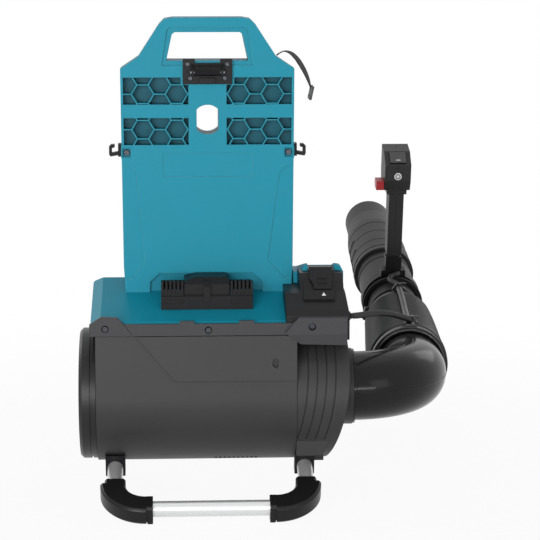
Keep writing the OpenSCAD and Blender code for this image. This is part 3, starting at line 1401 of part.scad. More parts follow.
back_frame();
front_cover();
latch_bracket();
latch_lever();
latch_pin();
latch_spring();
pack_hook();
frame_screws();
strap_hook_left();
strap_hook_right();
upper_case();
trim_strip();
case_screws();
fan_case_rear();
fan_case_front();
intake_ring();
intake_grille();
fan_duct();
motor_stator();
motor_rotor();
fan_wheel();
fan_nut();
shaft_bearings();
outlet_housing();
controller_box();
socket_tower();
power_socket();
socket_cap();
stand_tube();
stand_corner_left();
stand_corner_right();
stand_brackets();
front_foot_left();
front_foot_right();
elbow_pipe();
hose_band_rear();
hose_rear();
hose_ring();
hose_front();
hose_band_front();
inner_pipe();
swivel_pipe();
nozzle_pipe();
handle_clamp();
handle_left();
handle_right();
trigger();
trigger_spring();
cruise_lever();
power_button();
display_window();
cable_case();
cable_rear();
cable_front();
cable_handle();
cable_fittings();
back_pad();
hip_pad();
shoulder_straps();
strap_tail();
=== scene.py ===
import math

import bmesh
import bpy
import numpy as np
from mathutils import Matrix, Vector


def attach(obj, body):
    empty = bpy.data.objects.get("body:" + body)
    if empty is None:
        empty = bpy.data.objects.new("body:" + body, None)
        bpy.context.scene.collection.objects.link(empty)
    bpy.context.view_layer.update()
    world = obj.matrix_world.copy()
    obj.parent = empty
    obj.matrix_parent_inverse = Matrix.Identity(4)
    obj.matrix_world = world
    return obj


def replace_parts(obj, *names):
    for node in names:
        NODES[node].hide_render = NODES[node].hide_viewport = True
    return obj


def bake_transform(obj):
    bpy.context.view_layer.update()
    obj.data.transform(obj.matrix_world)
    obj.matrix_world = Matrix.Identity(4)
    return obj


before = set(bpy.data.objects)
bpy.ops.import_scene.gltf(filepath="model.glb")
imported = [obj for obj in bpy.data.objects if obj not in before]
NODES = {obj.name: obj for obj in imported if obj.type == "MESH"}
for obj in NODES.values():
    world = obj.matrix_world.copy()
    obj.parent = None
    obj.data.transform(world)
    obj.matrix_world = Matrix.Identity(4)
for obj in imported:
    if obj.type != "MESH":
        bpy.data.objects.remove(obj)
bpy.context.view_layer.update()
MM = 0.001

# ---------------------------------------------------------------- camera and lights

scene = bpy.context.scene
scene.view_settings.view_transform = "Standard"
cam_data = bpy.data.cameras.new("camera")
cam_data.sensor_width = 36
cam_data.lens = 133.33
cam_data.clip_end = 100
cam = bpy.data.objects.new("camera", cam_data)
scene.collection.objects.link(cam)
cam.location = (-0.0452, -2.8291, 0.8064)
cam.rotation_euler = (math.radians(80.4), 0, math.radians(-2.7))
scene.camera = cam

# name: place, point it is aimed at, size in metres, power in watts
LIGHTS = {
    "key": ((-1.1, -3.0, 0.86), (0.05, 0, 0.34), (1.6, 1.2), 54),
    "fill": ((1.9, -2.4, 0.9), (0.1, 0, 0.3), (1.0, 1.2), 4),
    "low_strip": ((0.75, -2.9, 0.28), (0.25, 0, 0.2), (1.9, 0.12), 12),
    "top": ((0.2, 0.4, 2.6), (0.1, 0.1, 0.2), (2.0, 2.0), 3.5),
    "back_left": ((-2.2, 1.8, 1.6), (0, 0.2, 0.3), (1.2, 1.2), 9),
    "back_right": ((2.2, 2.2, 1.6), (0.1, 0.2, 0.3), (1.2, 1.2), 6),
}
for name, (at, aim, size, power) in LIGHTS.items():
    light = bpy.data.lights.new(name, "AREA")
    light.shape = "RECTANGLE"
    light.size, light.size_y = size
    light.energy = power
    lamp = bpy.data.objects.new(name, light)
    scene.collection.objects.link(lamp)
    lamp.location = at
    lamp.rotation_euler = (Vector(aim) - Vector(at)).to_track_quat("-Z", "Y").to_euler()

# ---------------------------------------------------------------- shader helpers


def join(tree, node, inputs):
    """Fill a node's inputs, by name or number: another node's output is linked, a value is set."""
    for key, value in inputs.items():
        if isinstance(value, bpy.types.NodeSocket):
            tree.links.new(value, node.inputs[key])
        else:
            node.inputs[key].default_value = value
    return node


def maths(tree, operation, *values):
    node = tree.nodes.new("ShaderNodeMath")
    node.operation = operation
    return join(tree, node, dict(enumerate(values))).outputs[0]


def vector_maths(tree, operation, inputs, result):
    node = tree.nodes.new("ShaderNodeVectorMath")
    node.operation = operation
    return join(tree, node, inputs).outputs[result]


def scale_colour(tree, colour, share):
    """The colour times a share, which may be over 1."""
    return vector_maths(tree, "SCALE", {0: colour, "Scale": share}, "Vector")


def map_range(tree, value, from_min, from_max, to_min, to_max, curve="LINEAR"):
    node = tree.nodes.new("ShaderNodeMapRange")
    node.interpolation_type = curve
    return join(tree, node, {"Value": value, "From Min": from_min, "From Max": from_max,
                             "To Min": to_min, "To Max": to_max}).outputs[0]


def mix_colour(tree, factor, a, b):
    node = tree.nodes.new("ShaderNodeMix")
    node.data_type = "RGBA"
    return join(tree, node, {"Factor": factor, "A": a, "B": b}).outputs["Result"]


def background_rays(tree):
    """1 for a camera, glossy or transmission ray, else 0."""
    path = tree.nodes.new("ShaderNodeLightPath").outputs
    seen = maths(tree, "MAXIMUM", path["Is Camera Ray"], path["Is Glossy Ray"])
    return maths(tree, "MAXIMUM", seen, path["Is Transmission Ray"])


# ---------------------------------------------------------------- background and floor

WORLD_LIGHT = 0.29  # the white world's strength as a lamp; it shows as plain white

world = bpy.data.worlds.new("studio")
scene.world = world
world.use_nodes = True
tree = world.node_tree
strength = map_range(tree, background_rays(tree), 0, 1, WORLD_LIGHT, 1.0)
join(tree, tree.nodes["Background"], {"Color": (1, 1, 1, 1), "Strength": strength})

# The floor is pale, keeps the object's soft shadow, and runs out into the white round it:
# the share of plain white goes up from FLOOR_WHITE between the two distances, in metres.
FLOOR_WHITE = 0.93
RUN_OUT = (0.35, 1.5)
FLOOR_CORNERS = [(-40, -10, 0), (40, -10, 0), (40, 60, 0), (-40, 60, 0)]

floor_mat = bpy.data.materials.new("floor_pale")
floor_mat.use_nodes = True
tree = floor_mat.node_tree
tree.nodes.clear()
pale = join(tree, tree.nodes.new("ShaderNodeBsdfDiffuse"), {"Color": (0.9, 0.9, 0.9, 1)})
white = tree.nodes.new("ShaderNodeEmission")
spot = tree.nodes.new("ShaderNodeTexCoord").outputs["Object"]
away = vector_maths(tree, "LENGTH", {0: spot}, "Value")
share = maths(tree, "MULTIPLY", map_range(tree, away, *RUN_OUT, FLOOR_WHITE, 1.0, "SMOOTHSTEP"),
              background_rays(tree))
both = join(tree, tree.nodes.new("ShaderNodeMixShader"),
            {"Fac": share, 1: pale.outputs[0], 2: white.outputs[0]})
join(tree, tree.nodes.new("ShaderNodeOutputMaterial"), {"Surface": both.outputs[0]})
floor_mesh = bpy.data.meshes.new("floor")
floor_mesh.from_pydata(FLOOR_CORNERS, [], [(0, 1, 2, 3)])
floor = bpy.data.objects.new("floor", floor_mesh)
scene.collection.objects.link(floor)
floor_mesh.materials.append(floor_mat)

# ---------------------------------------------------------------- materials

DRIFT = {"Scale": 14, "Detail": 4, "Roughness": 0.6}  # slow change of colour and gloss
EDGE_BEND = (0.97, 0.7)  # cosine between flat and rounded normal where the worn and painted-highlight edge starts and is full
GRAIN_BUMP = 0.0002  # height in metres
WEAVE_BUMP, WEAVE_STRENGTH = 0.0004, 0.6
WEAVE_SHADE = (0.72, 1.25)  # colour between the threads and on them


def material(name, colour, rough=0.5, metallic=0.0, spec=0.5, grain=1500, bump=0.12, mottle=0.07,
             edge=0.3, edge_r=0.8, wear_and_highlight=None, coat=0.0, sheen=0.0, weave=None, brushed=None,
             rough_var=0.07, deep=None):
    """A moulded, woven or brushed surface.

    The colour drifts by mottle and the roughness by rough_var. Edges are rounded by edge_r mm and
    lightened towards the colour wear_and_highlight, by the share edge: partly wear, partly a
    painted highlight. grain and bump are the scale and strength of the fine grain, and brushed
    stretches it. weave is the threads' pitch in mm and the two axes they cross on. deep paints
    shade down in the pockets, by darkening the colour: the Y where that starts and the Y where
    it is full, the half width it reaches, all in mm, and the share of colour left.
    """
    mat = bpy.data.materials.new(name)
    mat.use_nodes = True
    mat.diffuse_color = (*colour, 1)
    tree = mat.node_tree
    new = tree.nodes.new
    place = new("ShaderNodeTexCoord").outputs["Object"]
    drift = join(tree, new("ShaderNodeTexNoise"), {"Vector": place, **DRIFT}).outputs["Fac"]
    dark = [c * (1 - mottle) for c in colour]
    light = [min(1, c * (1 + mottle)) for c in colour]
    look = mix_colour(tree, drift, (*dark, 1), (*light, 1))
    rounded = None
    if edge_r:
        bevel = new("ShaderNodeBevel")
        bevel.samples = 4
        rounded = join(tree, bevel, {"Radius": edge_r * MM}).outputs["Normal"]
    # painted highlight and wear: where the rounded normal bends from the flat one, the colour goes
    # lighter
    if edge_r and edge:
        flat = new("ShaderNodeNewGeometry").outputs["True Normal"]
        bend = vector_maths(tree, "DOT_PRODUCT", {0: rounded, 1: flat}, "Value")
        scuff_and_glint = maths(tree, "MULTIPLY", map_range(tree, bend, *EDGE_BEND, 0, edge), drift)
        worn_and_lit = wear_and_highlight or [min(1, c * 1.6 + 0.06) for c in colour]
        look = mix_colour(tree, scuff_and_glint, look, (*worn_and_lit, 1))
    # painted shade: the colour darkens deeper in the pockets, within the half width
    if deep:
        from_y, to_y, half_width, left = deep
        axes = join(tree, new("ShaderNodeSeparateXYZ"), {0: place}).outputs
        inside = maths(tree, "LESS_THAN", maths(tree, "ABSOLUTE", axes[0]), half_width * MM)
        painted_pocket_shade = map_range(tree, axes[1], from_y * MM, to_y * MM, 0, left - 1)
        look = scale_colour(tree, look, maths(tree, "MULTIPLY_ADD", painted_pocket_shade, inside, 1))
    gloss = map_range(tree, drift, 0, 1, max(0.03, rough - rough_var), min(1, rough + rough_var))
    if weave:
        pitch, crossing = weave
        axes = join(tree, new("ShaderNodeSeparateXYZ"), {0: place}).outputs
        threads = [maths(tree, "SINE", maths(tree, "MULTIPLY_ADD", axes[k],
                                             2 * math.pi / (pitch * MM), shift))
                   for k, shift in zip(crossing, (0.0, 1.57))]
        height = maths(tree, "MULTIPLY", *threads)
        look = scale_colour(tree, look, map_range(tree, height, -1, 1, *WEAVE_SHADE))
    else:
        if brushed:
            place = join(tree, new("ShaderNodeMapping"),
                         {"Vector": place, "Scale": brushed}).outputs[0]
        height = join(tree, new("ShaderNodeTexNoise"),
                      {"Vector": place, "Scale": grain, "Detail": 2}).outputs["Fac"]
    relief = join(tree, new("ShaderNodeBump"),
                  {"Height": height, "Strength": WEAVE_STRENGTH if weave else bump,
                   "Distance": WEAVE_BUMP if weave else GRAIN_BUMP})
    if edge_r:
        join(tree, relief, {"Normal": rounded})
    join(tree, tree.nodes["Principled BSDF"],
         {"Base Color": look, "Roughness": gloss, "Normal": relief.outputs[0],
          "Metallic": metallic, "Specular IOR Level": spec, "Coat Weight": coat,
          "Coat Roughness": 0.25, "Sheen Weight": sheen, "Sheen Roughness": 0.5})
    return mat


TEAL = (0.006, 0.262, 0.368)
# every lighter edge colour given below is partly wear and partly a painted highlight
M = {
    # shells
    "teal": material("teal_shell", TEAL, rough=0.46, spec=0.2, bump=0.10, edge=0.55, edge_r=1.0,
                     wear_and_highlight=(0.16, 0.5, 0.56), mottle=0.04),
    # the back frame: painted shade in its pockets, and stronger edge wear with a painted highlight
    "frame": material("teal_frame_painted_shade", TEAL, rough=0.46, spec=0.2, bump=0.10, edge=0.95, edge_r=1.0,
                      wear_and_highlight=(0.3, 0.68, 0.7), mottle=0.04, deep=(14, 29, 120.5, 0.4)),
    "charcoal": material("charcoal_shell", (0.035, 0.0335, 0.035), rough=0.46, spec=0.28,
                         bump=0.22, edge=0.4, edge_r=1.3),
    "grey": material("strip_grey", (0.048, 0.048, 0.051), rough=0.48, spec=0.25, bump=0.2,
                     edge=0.5, edge_r=0.7),
    "black": material("black_shell", (0.007, 0.007, 0.008), rough=0.44, spec=0.17, bump=0.2),
    "ring": material("ring_black", (0.010, 0.010, 0.0105), rough=0.36, spec=0.34, bump=0.15,
                     edge_r=1.0),
    "tower": material("tower_black", (0.009, 0.009, 0.010), rough=0.42, spec=0.22, bump=0.16,
                      edge_r=1.2),
    "cap": material("cap_black", (0.005, 0.005, 0.006), rough=0.5, spec=0.26, bump=0.3,
                    grain=900, edge=0.35),
    "corner": material("corner_cover", (0.007, 0.007, 0.0075), rough=0.34, spec=0.24, edge_r=0.9),
    # air path
    "elbow": material("elbow_black", (0.008, 0.0077, 0.008), rough=0.17, spec=0.22, bump=0.06,
                      edge=0.2, edge_r=1.0, rough_var=0.04),
    "pipe": material("pipe_charcoal", (0.026, 0.0255, 0.027), rough=0.5, spec=0.22, bump=0.2,
                     edge=0.4, edge_r=1.0),
    "rubber": material("hose_rubber", (0.007, 0.007, 0.0075), rough=0.3, spec=0.55, bump=0.2,
                       grain=700, edge_r=0),
    "band": material("band_black", (0.010, 0.010, 0.011), rough=0.38, spec=0.45, bump=0.15,
                     edge_r=0.6),
    # handle
    "grip": material("grip_black", (0.024, 0.024, 0.0245), rough=0.45, spec=0.25, bump=0.35,
                     grain=1100, edge_r=2.2),
    "red": material("lever_red", (0.44, 0.012, 0.02), rough=0.35, bump=0.08, edge=0.35,
                    edge_r=0.9, wear_and_highlight=(0.75, 0.16, 0.16)),
    "white": material("button_white", (0.8, 0.8, 0.8), rough=0.4, bump=0.05, mottle=0.02, edge=0,
                      edge_r=0.6),
    "glass": material("display_dark", (0.008, 0.008, 0.010), rough=0.16, bump=0.02, edge=0.1,
                      edge_r=0.5, coat=0.4),
    # metal
    "alu": material("tube_aluminium", (0.74, 0.745, 0.75), rough=0.32, metallic=0.6, bump=0.10,
                    grain=900, brushed=(0.02, 1, 1), mottle=0.03, edge_r=0, rough_var=0.05),
    # the screws' lighter edges are partly wear, partly a painted highlight ring
    "steel": material("screw_black", (0.05, 0.053, 0.062), rough=0.3, metallic=0.75, bump=0.1,
                      grain=1200, edge=0.5, edge_r=0.3, wear_and_highlight=(0.3, 0.31, 0.33)),
    "bright": material("steel_bright", (0.55, 0.56, 0.58), rough=0.3, metallic=1.0, bump=0.08,
                       grain=900, edge=0, edge_r=0.2),
    "copper": material("winding_copper", (0.55, 0.22, 0.09), rough=0.42, metallic=0.9, bump=0.4,
                       grain=600, edge=0, edge_r=0.3),
    # rubber, cloth and cords
    "foot": material("foot_rubber", (0.010, 0.010, 0.010), rough=0.58, spec=0.35, bump=0.4,
                     grain=700, edge=0.4),
    "mesh": material("spacer_mesh", (0.022, 0.022, 0.024), rough=0.9, spec=0.15, sheen=0.25,
                     edge_r=0, weave=(2.4, (0, 2)), mottle=0.12),
    "web": material("webbing_black", (0.013, 0.013, 0.014), rough=0.75, spec=0.25, sheen=0.15,
                    edge_r=0, weave=(1.5, (1, 2)), mottle=0.15),
    "buckle": material("buckle_black", (0.010, 0.010, 0.011), rough=0.35, edge=0.4, edge_r=0.6),
    "conduit": material("conduit_black", (0.011, 0.011, 0.012), rough=0.42, spec=0.45, bump=0.1,
                        edge_r=0),
    "cord": material("cord_black", (0.012, 0.012, 0.013), rough=0.55, spec=0.35, bump=0.3,
                     grain=1600, edge_r=0),
    # printed marks
    "mark": material("mark_white", (0.85, 0.85, 0.85), bump=0.02, mottle=0.02, edge_r=0),
    "lamp": material("lamp_pale", (0.42, 0.43, 0.44), rough=0.3, bump=0.02, mottle=0.05,
                     edge_r=0),
}

FINISH = {
    "teal": "front_cover upper_case",
    "frame": "back_frame",
    "charcoal": "fan_case_rear fan_case_front outlet_housing fan_wheel",
    "grey": "trim_strip",
    "ring": "intake_ring",
    "black": "latch_bracket latch_lever pack_hook strap_hook_left strap_hook_right intake_grille "
             "fan_duct controller_box power_socket stand_brackets cable_fittings handle_clamp",
    "tower": "socket_tower",
    "cap": "socket_cap",
    "elbow": "elbow_pipe",
    "pipe": "swivel_pipe nozzle_pipe inner_pipe",
    "band": "hose_band_rear hose_band_front",
    "grip": "handle_left handle_right trigger",
    "red": "cruise_lever",
    "white": "power_button",
    "alu": "stand_tube",
    "corner": "stand_corner_left stand_corner_right",
    "foot": "front_foot_left front_foot_right",
    "steel": "frame_screws case_screws",
    "bright": "latch_pin latch_spring trigger_spring motor_rotor shaft_bearings fan_nut",
    "copper": "motor_stator",
    "glass": "display_window",
}
for key, names in FINISH.items():
    for name in names.split():
        mesh = NODES[name].data
        mesh.materials.clear()
        mesh.materials.append(M[key])

# ---------------------------------------------------------------- mesh helpers

X = np.array([1.0, 0, 0])
Y = np.array([0, 1.0, 0])
Z = np.array([0, 0, 1.0])


def new_object(name, verts, faces, mat, smooth=True):
    mesh = bpy.data.meshes.new(name)
    mesh.from_pydata([tuple(v) for v in verts], [], faces)
    mesh.update()
    if smooth:
        shade_smooth(mesh)
    mesh.materials.append(M[mat])
    o = bpy.data.objects.new(name, mesh)
    scene.collection.objects.link(o)
    bm = bmesh.new()
    bm.from_mesh(mesh)
    bmesh.ops.recalc_face_normals(bm, faces=bm.faces)
    bm.to_mesh(mesh)
    bm.free()
    return o


def shade_smooth(mesh):
    mesh.polygons.foreach_set("use_smooth", [True] * len(mesh.polygons))


def smooth_by_angle(o, degrees):
    """Keep the edges sharp where faces meet at more than an angle."""
    bm = bmesh.new()
    bm.from_mesh(o.data)
    limit = math.radians(degrees)
    for e in bm.edges:
        e.smooth = len(e.link_faces) == 2 and e.calc_face_angle(0) < limit
    bm.to_mesh(o.data)
    bm.free()


def dress(o, body):
    """Ride a piece on a body."""
    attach(o, body)


def sweep(rings, loop=False):
    """Vertices and faces through rings with the same number of points; ends closed, or a loop."""
    n, m = len(rings[0]), len(rings)
    verts = [p for r in rings for p in r]
    faces = []
    for i in range(m if loop else m - 1):
        j = (i + 1) % m
        for k in range(n):
            faces.append((i * n + k, i * n + (k + 1) % n, j * n + (k + 1) % n, j * n + k))
    if not loop:
        faces.append(tuple(range(n - 1, -1, -1)))
        faces.append(tuple((m - 1) * n + k for k in range(n)))
    return verts, faces


def unit(v):
    return v / np.linalg.norm(v)


def across(d, side):
    """Two directions across d: one towards side, and one square to it."""
    b = unit(side - np.dot(side, d) * d)
    return b, np.cross(d, b)


def ring(c, d, side, rx, ry, n):
    """Ring of n points round c, across direction d; rx along side, ry across it."""
    b, u = across(d, side)
    return [c + rx * math.cos(2 * math.pi * k / n) * b + ry * math.sin(2 * math.pi * k / n) * u
            for k in range(n)]


def flat_ring(c, d, side, rx, ry, n, power):
    """A ring with a superelliptic section: an ellipse at power 2, and squarer above it."""
    b, u = across(d, side)
    points = []
    for k in range(n):
        t = 2 * math.pi * k / n
        cx, sx = math.cos(t), math.sin(t)
        points.append(c + math.copysign(abs(cx) ** (2 / power), cx) * rx * b
                      + math.copysign(abs(sx) ** (2 / power), sx) * ry * u)
    return points


def smooth_route(points, steps):
    """A Catmull-Rom curve through points, with steps in each span."""
    p = [np.array(q, float) for q in points]
    out = []
    for i in range(len(p) - 1):
        a, b, c, d = p[max(i - 1, 0)], p[i], p[i + 1], p[min(i + 2, len(p) - 1)]
        for k in range(steps):
            t = k / steps
            out.append(0.5 * (2 * b + (c - a) * t + (2 * a - 5 * b + 4 * c - d) * t * t
                              + (3 * b - a - 3 * c + d) * t ** 3))
    return out + [p[-1]]


def headings(q):
    """The direction of a route at each of its points."""
    return [unit(q[min(i + 1, len(q) - 1)] - q[max(i - 1, 0)]) for i in range(len(q))]


def metres(p):
    """Points in mm as points in metres."""
    return [tuple(c * MM for c in q) for q in p]


def circle(n):
    """n angles, evenly round a circle."""
    return [2 * math.pi * k / n for k in range(n)]


# the pipes' frame, as in the CAD
TILT, YAW = math.radians(11.5), math.radians(0.5)
HOSE_END = np.array([312, 360, 184]) * MM
DIR = np.array([-math.sin(YAW) * math.cos(TILT), math.cos(YAW) * math.cos(TILT), math.sin(TILT)])
SIDE = np.array([math.cos(YAW), math.sin(YAW), 0])
UP = np.cross(SIDE, DIR)


def on_pipe(s, right=0.0, up=0.0):
    """A point in the pipes' frame: s along, right across, up; all in mm."""
    return HOSE_END + (s * DIR + right * SIDE + up * UP) * MM


# ---------------------------------------------------------------- flexible hose

# control points of the hose's centre line
P0 = np.array([307, 156, 156]) * MM
P3 = HOSE_END - 16 * MM * DIR
P1 = P0 + np.array([0, 62, 0]) * MM
P2 = P3 - 62 * MM * DIR

HOSE_SIDES = 64  # points round each ring
RIB_RINGS, BORE_RINGS = 6, 12  # rings along a rib, and along the whole bore
RIB_DEPTH, WALL = 2.7, 4.2  # from a ridge to the groove, and to the bore, in mm
# plain cuffs: places along the end's direction and radii, in mm, outside and in the bore
REAR_CUFF = [(-20, 55.6), (-19.2, 56.3), (-7, 56.3), (-6, 54.5), (-4, 52.0)]
REAR_BORE = [(-4, 50.35), (-20, 50.35)]
FRONT_CUFF = [(1.0, 45.0), (2.0, 46.3), (3.0, 46.5), (17.2, 46.5), (18, 45.8)]
FRONT_BORE = [(18, 41.35), (2, 41.35)]


def bez(t):
    return (1 - t) ** 3 * P0 + 3 * (1 - t) ** 2 * t * P1 + 3 * (1 - t) * t * t * P2 + t ** 3 * P3


def bez_dir(t):
    return unit((1 - t) ** 2 * (P1 - P0) + 2 * (1 - t) * t * (P2 - P1) + t * t * (P3 - P2))


def ridge_r(t):
    return (61.0 - 7 * t * t) * MM


def hose_ring(t, r):
    return ring(bez(t), bez_dir(t), X, r, r, HOSE_SIDES)


def cuff_rings(end, d, profile):
    return [ring(end + d * MM * y, d, X, r * MM, r * MM, HOSE_SIDES) for y, r in profile]


def bellows(name, t0, t1, ribs, head=(), tail=(), foot=()):
    """A length of the hose from t0 to t1, with round ridges outside and a smooth bore. Rings of a
    plain cuff can come before the ridges (head), after them (tail) and after the bore (foot)."""
    steps = ribs * RIB_RINGS
    outer = []
    for i in range(steps + 1):
        t = t0 + (t1 - t0) * i / steps
        crest = 0.5 - 0.5 * math.cos(2 * math.pi * i / RIB_RINGS)
        outer.append(hose_ring(t, ridge_r(t) - RIB_DEPTH * MM * (1 - crest ** 0.6)))
    bore = []
    for i in range(BORE_RINGS, -1, -1):
        t = t0 + (t1 - t0) * i / BORE_RINGS
        bore.append(hose_ring(t, ridge_r(t) - WALL * MM))
    o = new_object(name, *sweep([*head, *outer, *tail, *bore, *foot], loop=True), "rubber")
    return o


hose_rear = bellows("hose_bellows_rear", 0.0, 0.48, 23, head=cuff_rings(P0, Y, REAR_CUFF),
                    foot=cuff_rings(P0, Y, REAR_BORE))
hose_front = bellows("hose_bellows_front", 0.52, 1.0, 23,
                     tail=cuff_rings(P3, DIR, FRONT_CUFF + FRONT_BORE))
hose_middle = bellows("hose_bellows_middle", 0.482, 0.518, 2)
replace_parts(hose_middle, "hose_ring")
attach(hose_middle, "hose_middle")
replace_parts(hose_rear, "hose_rear")
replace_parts(hose_front, "hose_front")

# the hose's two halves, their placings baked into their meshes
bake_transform(hose_rear)
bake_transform(hose_front)

# ---------------------------------------------------------------- lead

# radii, and the conduit's corrugations, in mm
CONDUIT_R, CORD_R = 4.6, 3.8
CORRUGATION_PITCH, CORRUGATION_DEPTH = 2.6, 0.9
CORRUGATION_RINGS = 6
LEAD_SIDES = 20
LEAD_RISE = 5.4  # the conduit's centre over the hose's ridges
ROUTE_STEPS = 8


def over_hose(t):
    """Where the lead lies on the hose's top, in mm."""
    d = bez_dir(t)
    up = unit(np.array([0, -d[2], d[1]]))
    return tuple((bez(t) + (ridge_r(t) + LEAD_RISE * MM) * up) / MM)


# routes in mm: socket tower to hose, the hose's two halves, and hose to handle
CASE = [(196.4, -48, 268.7), (206, -48, 268.7), (219, -38, 268), (234, -14, 265), (252, 22, 259),
        (270, 66, 249), (288, 110, 237), (302, 134, 228.5), (309, 146, 224)]
REAR = [(309.5, 149, 223.6)] + [over_hose(t) for t in (0.06, 0.17, 0.28, 0.39, 0.497)]
FRONT = [over_hose(t) for t in (0.5, 0.62, 0.75, 0.88, 1)]
HAND = [tuple(np.array(over_hose(1)) + 0.8 * DIR), (312, 350, 242), (311, 363, 243),
        (305, 375, 244), (302.5, 386, 245.5), (307, 397, 249), (314, 401.5, 250.4),
        (318.5, 407, 251.6), (318.5, 412, 252.7), (318.4, 416.3, 253.6)]


def corrugated(q):
    """Rings along q, spaced evenly so that the corrugations have one pitch."""
    s = np.concatenate([[0], np.cumsum([np.linalg.norm(q[i + 1] - q[i])
                                        for i in range(len(q) - 1)])])
    n = int(s[-1] / (CORRUGATION_PITCH * MM)) * CORRUGATION_RINGS
    even = [np.array([np.interp(at, s, [p[c] for p in q]) for c in range(3)])
            for at in np.linspace(0, s[-1], n + 1)]
    rings = []
    for i, (p, d) in enumerate(zip(even, headings(even))):
        groove = 0.5 - 0.5 * math.cos(2 * math.pi * i / CORRUGATION_RINGS)
        r = (CONDUIT_R - CORRUGATION_DEPTH * groove ** 0.7) * MM
        rings.append(ring(p, d, Z, r, r, LEAD_SIDES))
    return rings


def lead(name, node, route, mat, r=None):
    """A length of the lead, in place of a CAD node: a plain cord of radius r, or corrugated."""
    q = smooth_route(metres(route), ROUTE_STEPS)
    if r:
        rings = [ring(p, d, X, r * MM, r * MM, LEAD_SIDES) for p, d in zip(q, headings(q))]
    else:
        rings = corrugated(q)
    o = new_object(name, *sweep(rings), mat)
    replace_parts(o, node)
    return o, q


o, q = lead("lead_conduit", "cable_case", CASE, "conduit")
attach(o, "pack")
o, q = lead("lead_on_hose_rear", "cable_rear", REAR, "conduit", CONDUIT_R)
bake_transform(o)
o, q = lead("lead_on_hose_front", "cable_front", FRONT, "conduit", CONDUIT_R)
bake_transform(o)
o, q = lead("lead_to_handle", "cable_handle", HAND, "cord", CORD_R)
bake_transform(o)

# ---------------------------------------------------------------- lead clips on the hose bands


def prism(name, outline, y0, y1, mat, bevel, place):
    """An (across, up) outline in mm, extruded from y0 to y1, with its edges rounded by bevel mm.
    place maps (across, y, up) in mm to metres."""
    n = len(outline)
    verts = [(a, y0, u) for a, u in outline] + [(a, y1, u) for a, u in outline]
    faces = [tuple(range(n)), tuple(range(2 * n - 1, n - 1, -1))]
    faces += [(k, (k + 1) % n, n + (k + 1) % n, n + k) for k in range(n)]
    o = new_object(name, [place(*v) for v in verts], faces, mat, smooth=False)
    bm = bmesh.new()
    bm.from_mesh(o.data)
    bmesh.ops.bevel(bm, geom=list(bm.edges), offset=bevel * MM, segments=2, profile=0.6,
                    affect="EDGES", clamp_overlap=True)
    bm.to_mesh(o.data)
    bm.free()
    shade_smooth(o.data)
    smooth_by_angle(o, 50)
    return o


def corners(a0, a1, u0, u1):
    """The outline of a rectangle."""
    return [(a0, u0), (a1, u0), (a1, u1), (a0, u1)]


def arc(cx, cz, r, start, stop, n):
    """n points on a circle, from one angle in degrees to another."""
    angles = [math.radians(start + (stop - start) * k / (n - 1)) for k in range(n)]
    return [(cx + r * math.cos(a), cz + r * math.sin(a)) for a in angles]


def saddle(name, cx, cz, r, y0, y1, reach, place, body):
    """A clip over the lead, which has its centre at cx, cz and its radius r: two feet, an arch
    round the lead from y0 to y1, and a bar that reaches out beside it."""
    base = cz - r - 1
    outline = [(cx - r - 5.5, base), (cx - r - 2.2, base), (cx - r - 0.4, cz - 1)]
    outline += arc(cx, cz, r + 0.35, 180, 0, 11)
    outline += [(cx + r + 2.2, base), (cx + r + 6.5, base), (cx + r + 6.5, cz - r + 2.5),
                (cx + r + 3.4, cz - 0.5)]
    outline += arc(cx, cz, r + 2.4, 20, 160, 10)
    outline += [(cx - r - 3.6, cz - 0.5), (cx - r - 5.5, cz - r + 2)]
    clip = prism(name, outline, y0, y1, "band", 0.4, place)
    dress(clip, body)
    outline = [(cx - 3, cz + r - 1.2), (cx + reach, cz + r - 2.6), (cx + reach, cz + r + 1.0),
               (cx - 3, cz + r + 2.6)]
    bar = prism(name + "_bar", outline, y1 - 0.5, y1 + 3.0, "band", 0.5, place)
    bar.parent = clip


def clip_post(name, outline, y0, y1, place, body):
    """The block that a clip stands on."""
    dress(prism(name, outline, y0, y1, "band", 0.6, place), body)


def in_place(a, y, u):
    """The common frame, in mm."""
    return (a * MM, y * MM, u * MM)


def over_cuff(a, y, u):
    """The pipes' frame: right, along and up, in mm."""
    return tuple(on_pipe(y, a, u))


saddle("lead_clip_rear", 309.4, 223.6, 4.9, 141.5, 148, 12, in_place, "pack")
clip_post("lead_clip_rear_post", corners(300.5, 318.5, 213.2, 218.6), 139.5, 149.5, in_place,
          "pack")
saddle("lead_clip_front", -0.4, 58.9, 4.6, -10.5, -5.5, 13, over_cuff, "inner_tube")
clip_post("lead_clip_front_post", [(-9, 48.6), (9, 48.6), (8, 54), (-8, 54)], -11.5, -4,
          over_cuff, "inner_tube")

# ---------------------------------------------------------------- mould seam round the elbow

# the elbow's start, its bend's centre and outer radius, and its axis height, in mm
ELBOW_START, ELBOW_CENTRE, ELBOW_R, AXIS_Z = 200, (207, 100), 150, 156
SEAM_TURN = math.radians(64)
seam = [(ELBOW_START + 7 * k / 3, -50.0) for k in range(4)]
seam += [(ELBOW_CENTRE[0] + ELBOW_R * math.sin(a), ELBOW_CENTRE[1] - ELBOW_R * math.cos(a))
         for a in np.linspace(0, SEAM_TURN, 40)]
seam = [np.array([x, y, AXIS_Z]) * MM for x, y in seam]
rings = [ring(p, d, Z, (0.55 if 2 < i < len(seam) - 3 else 0.2) * MM, 0.45 * MM, 8)
         for i, (p, d) in enumerate(zip(seam, headings(seam)))]
dress(new_object("elbow_mould_seam", *sweep(rings), "elbow"), "pack")

# ---------------------------------------------------------------- harness pads

PAD_FACES = 28  # across a pad's width
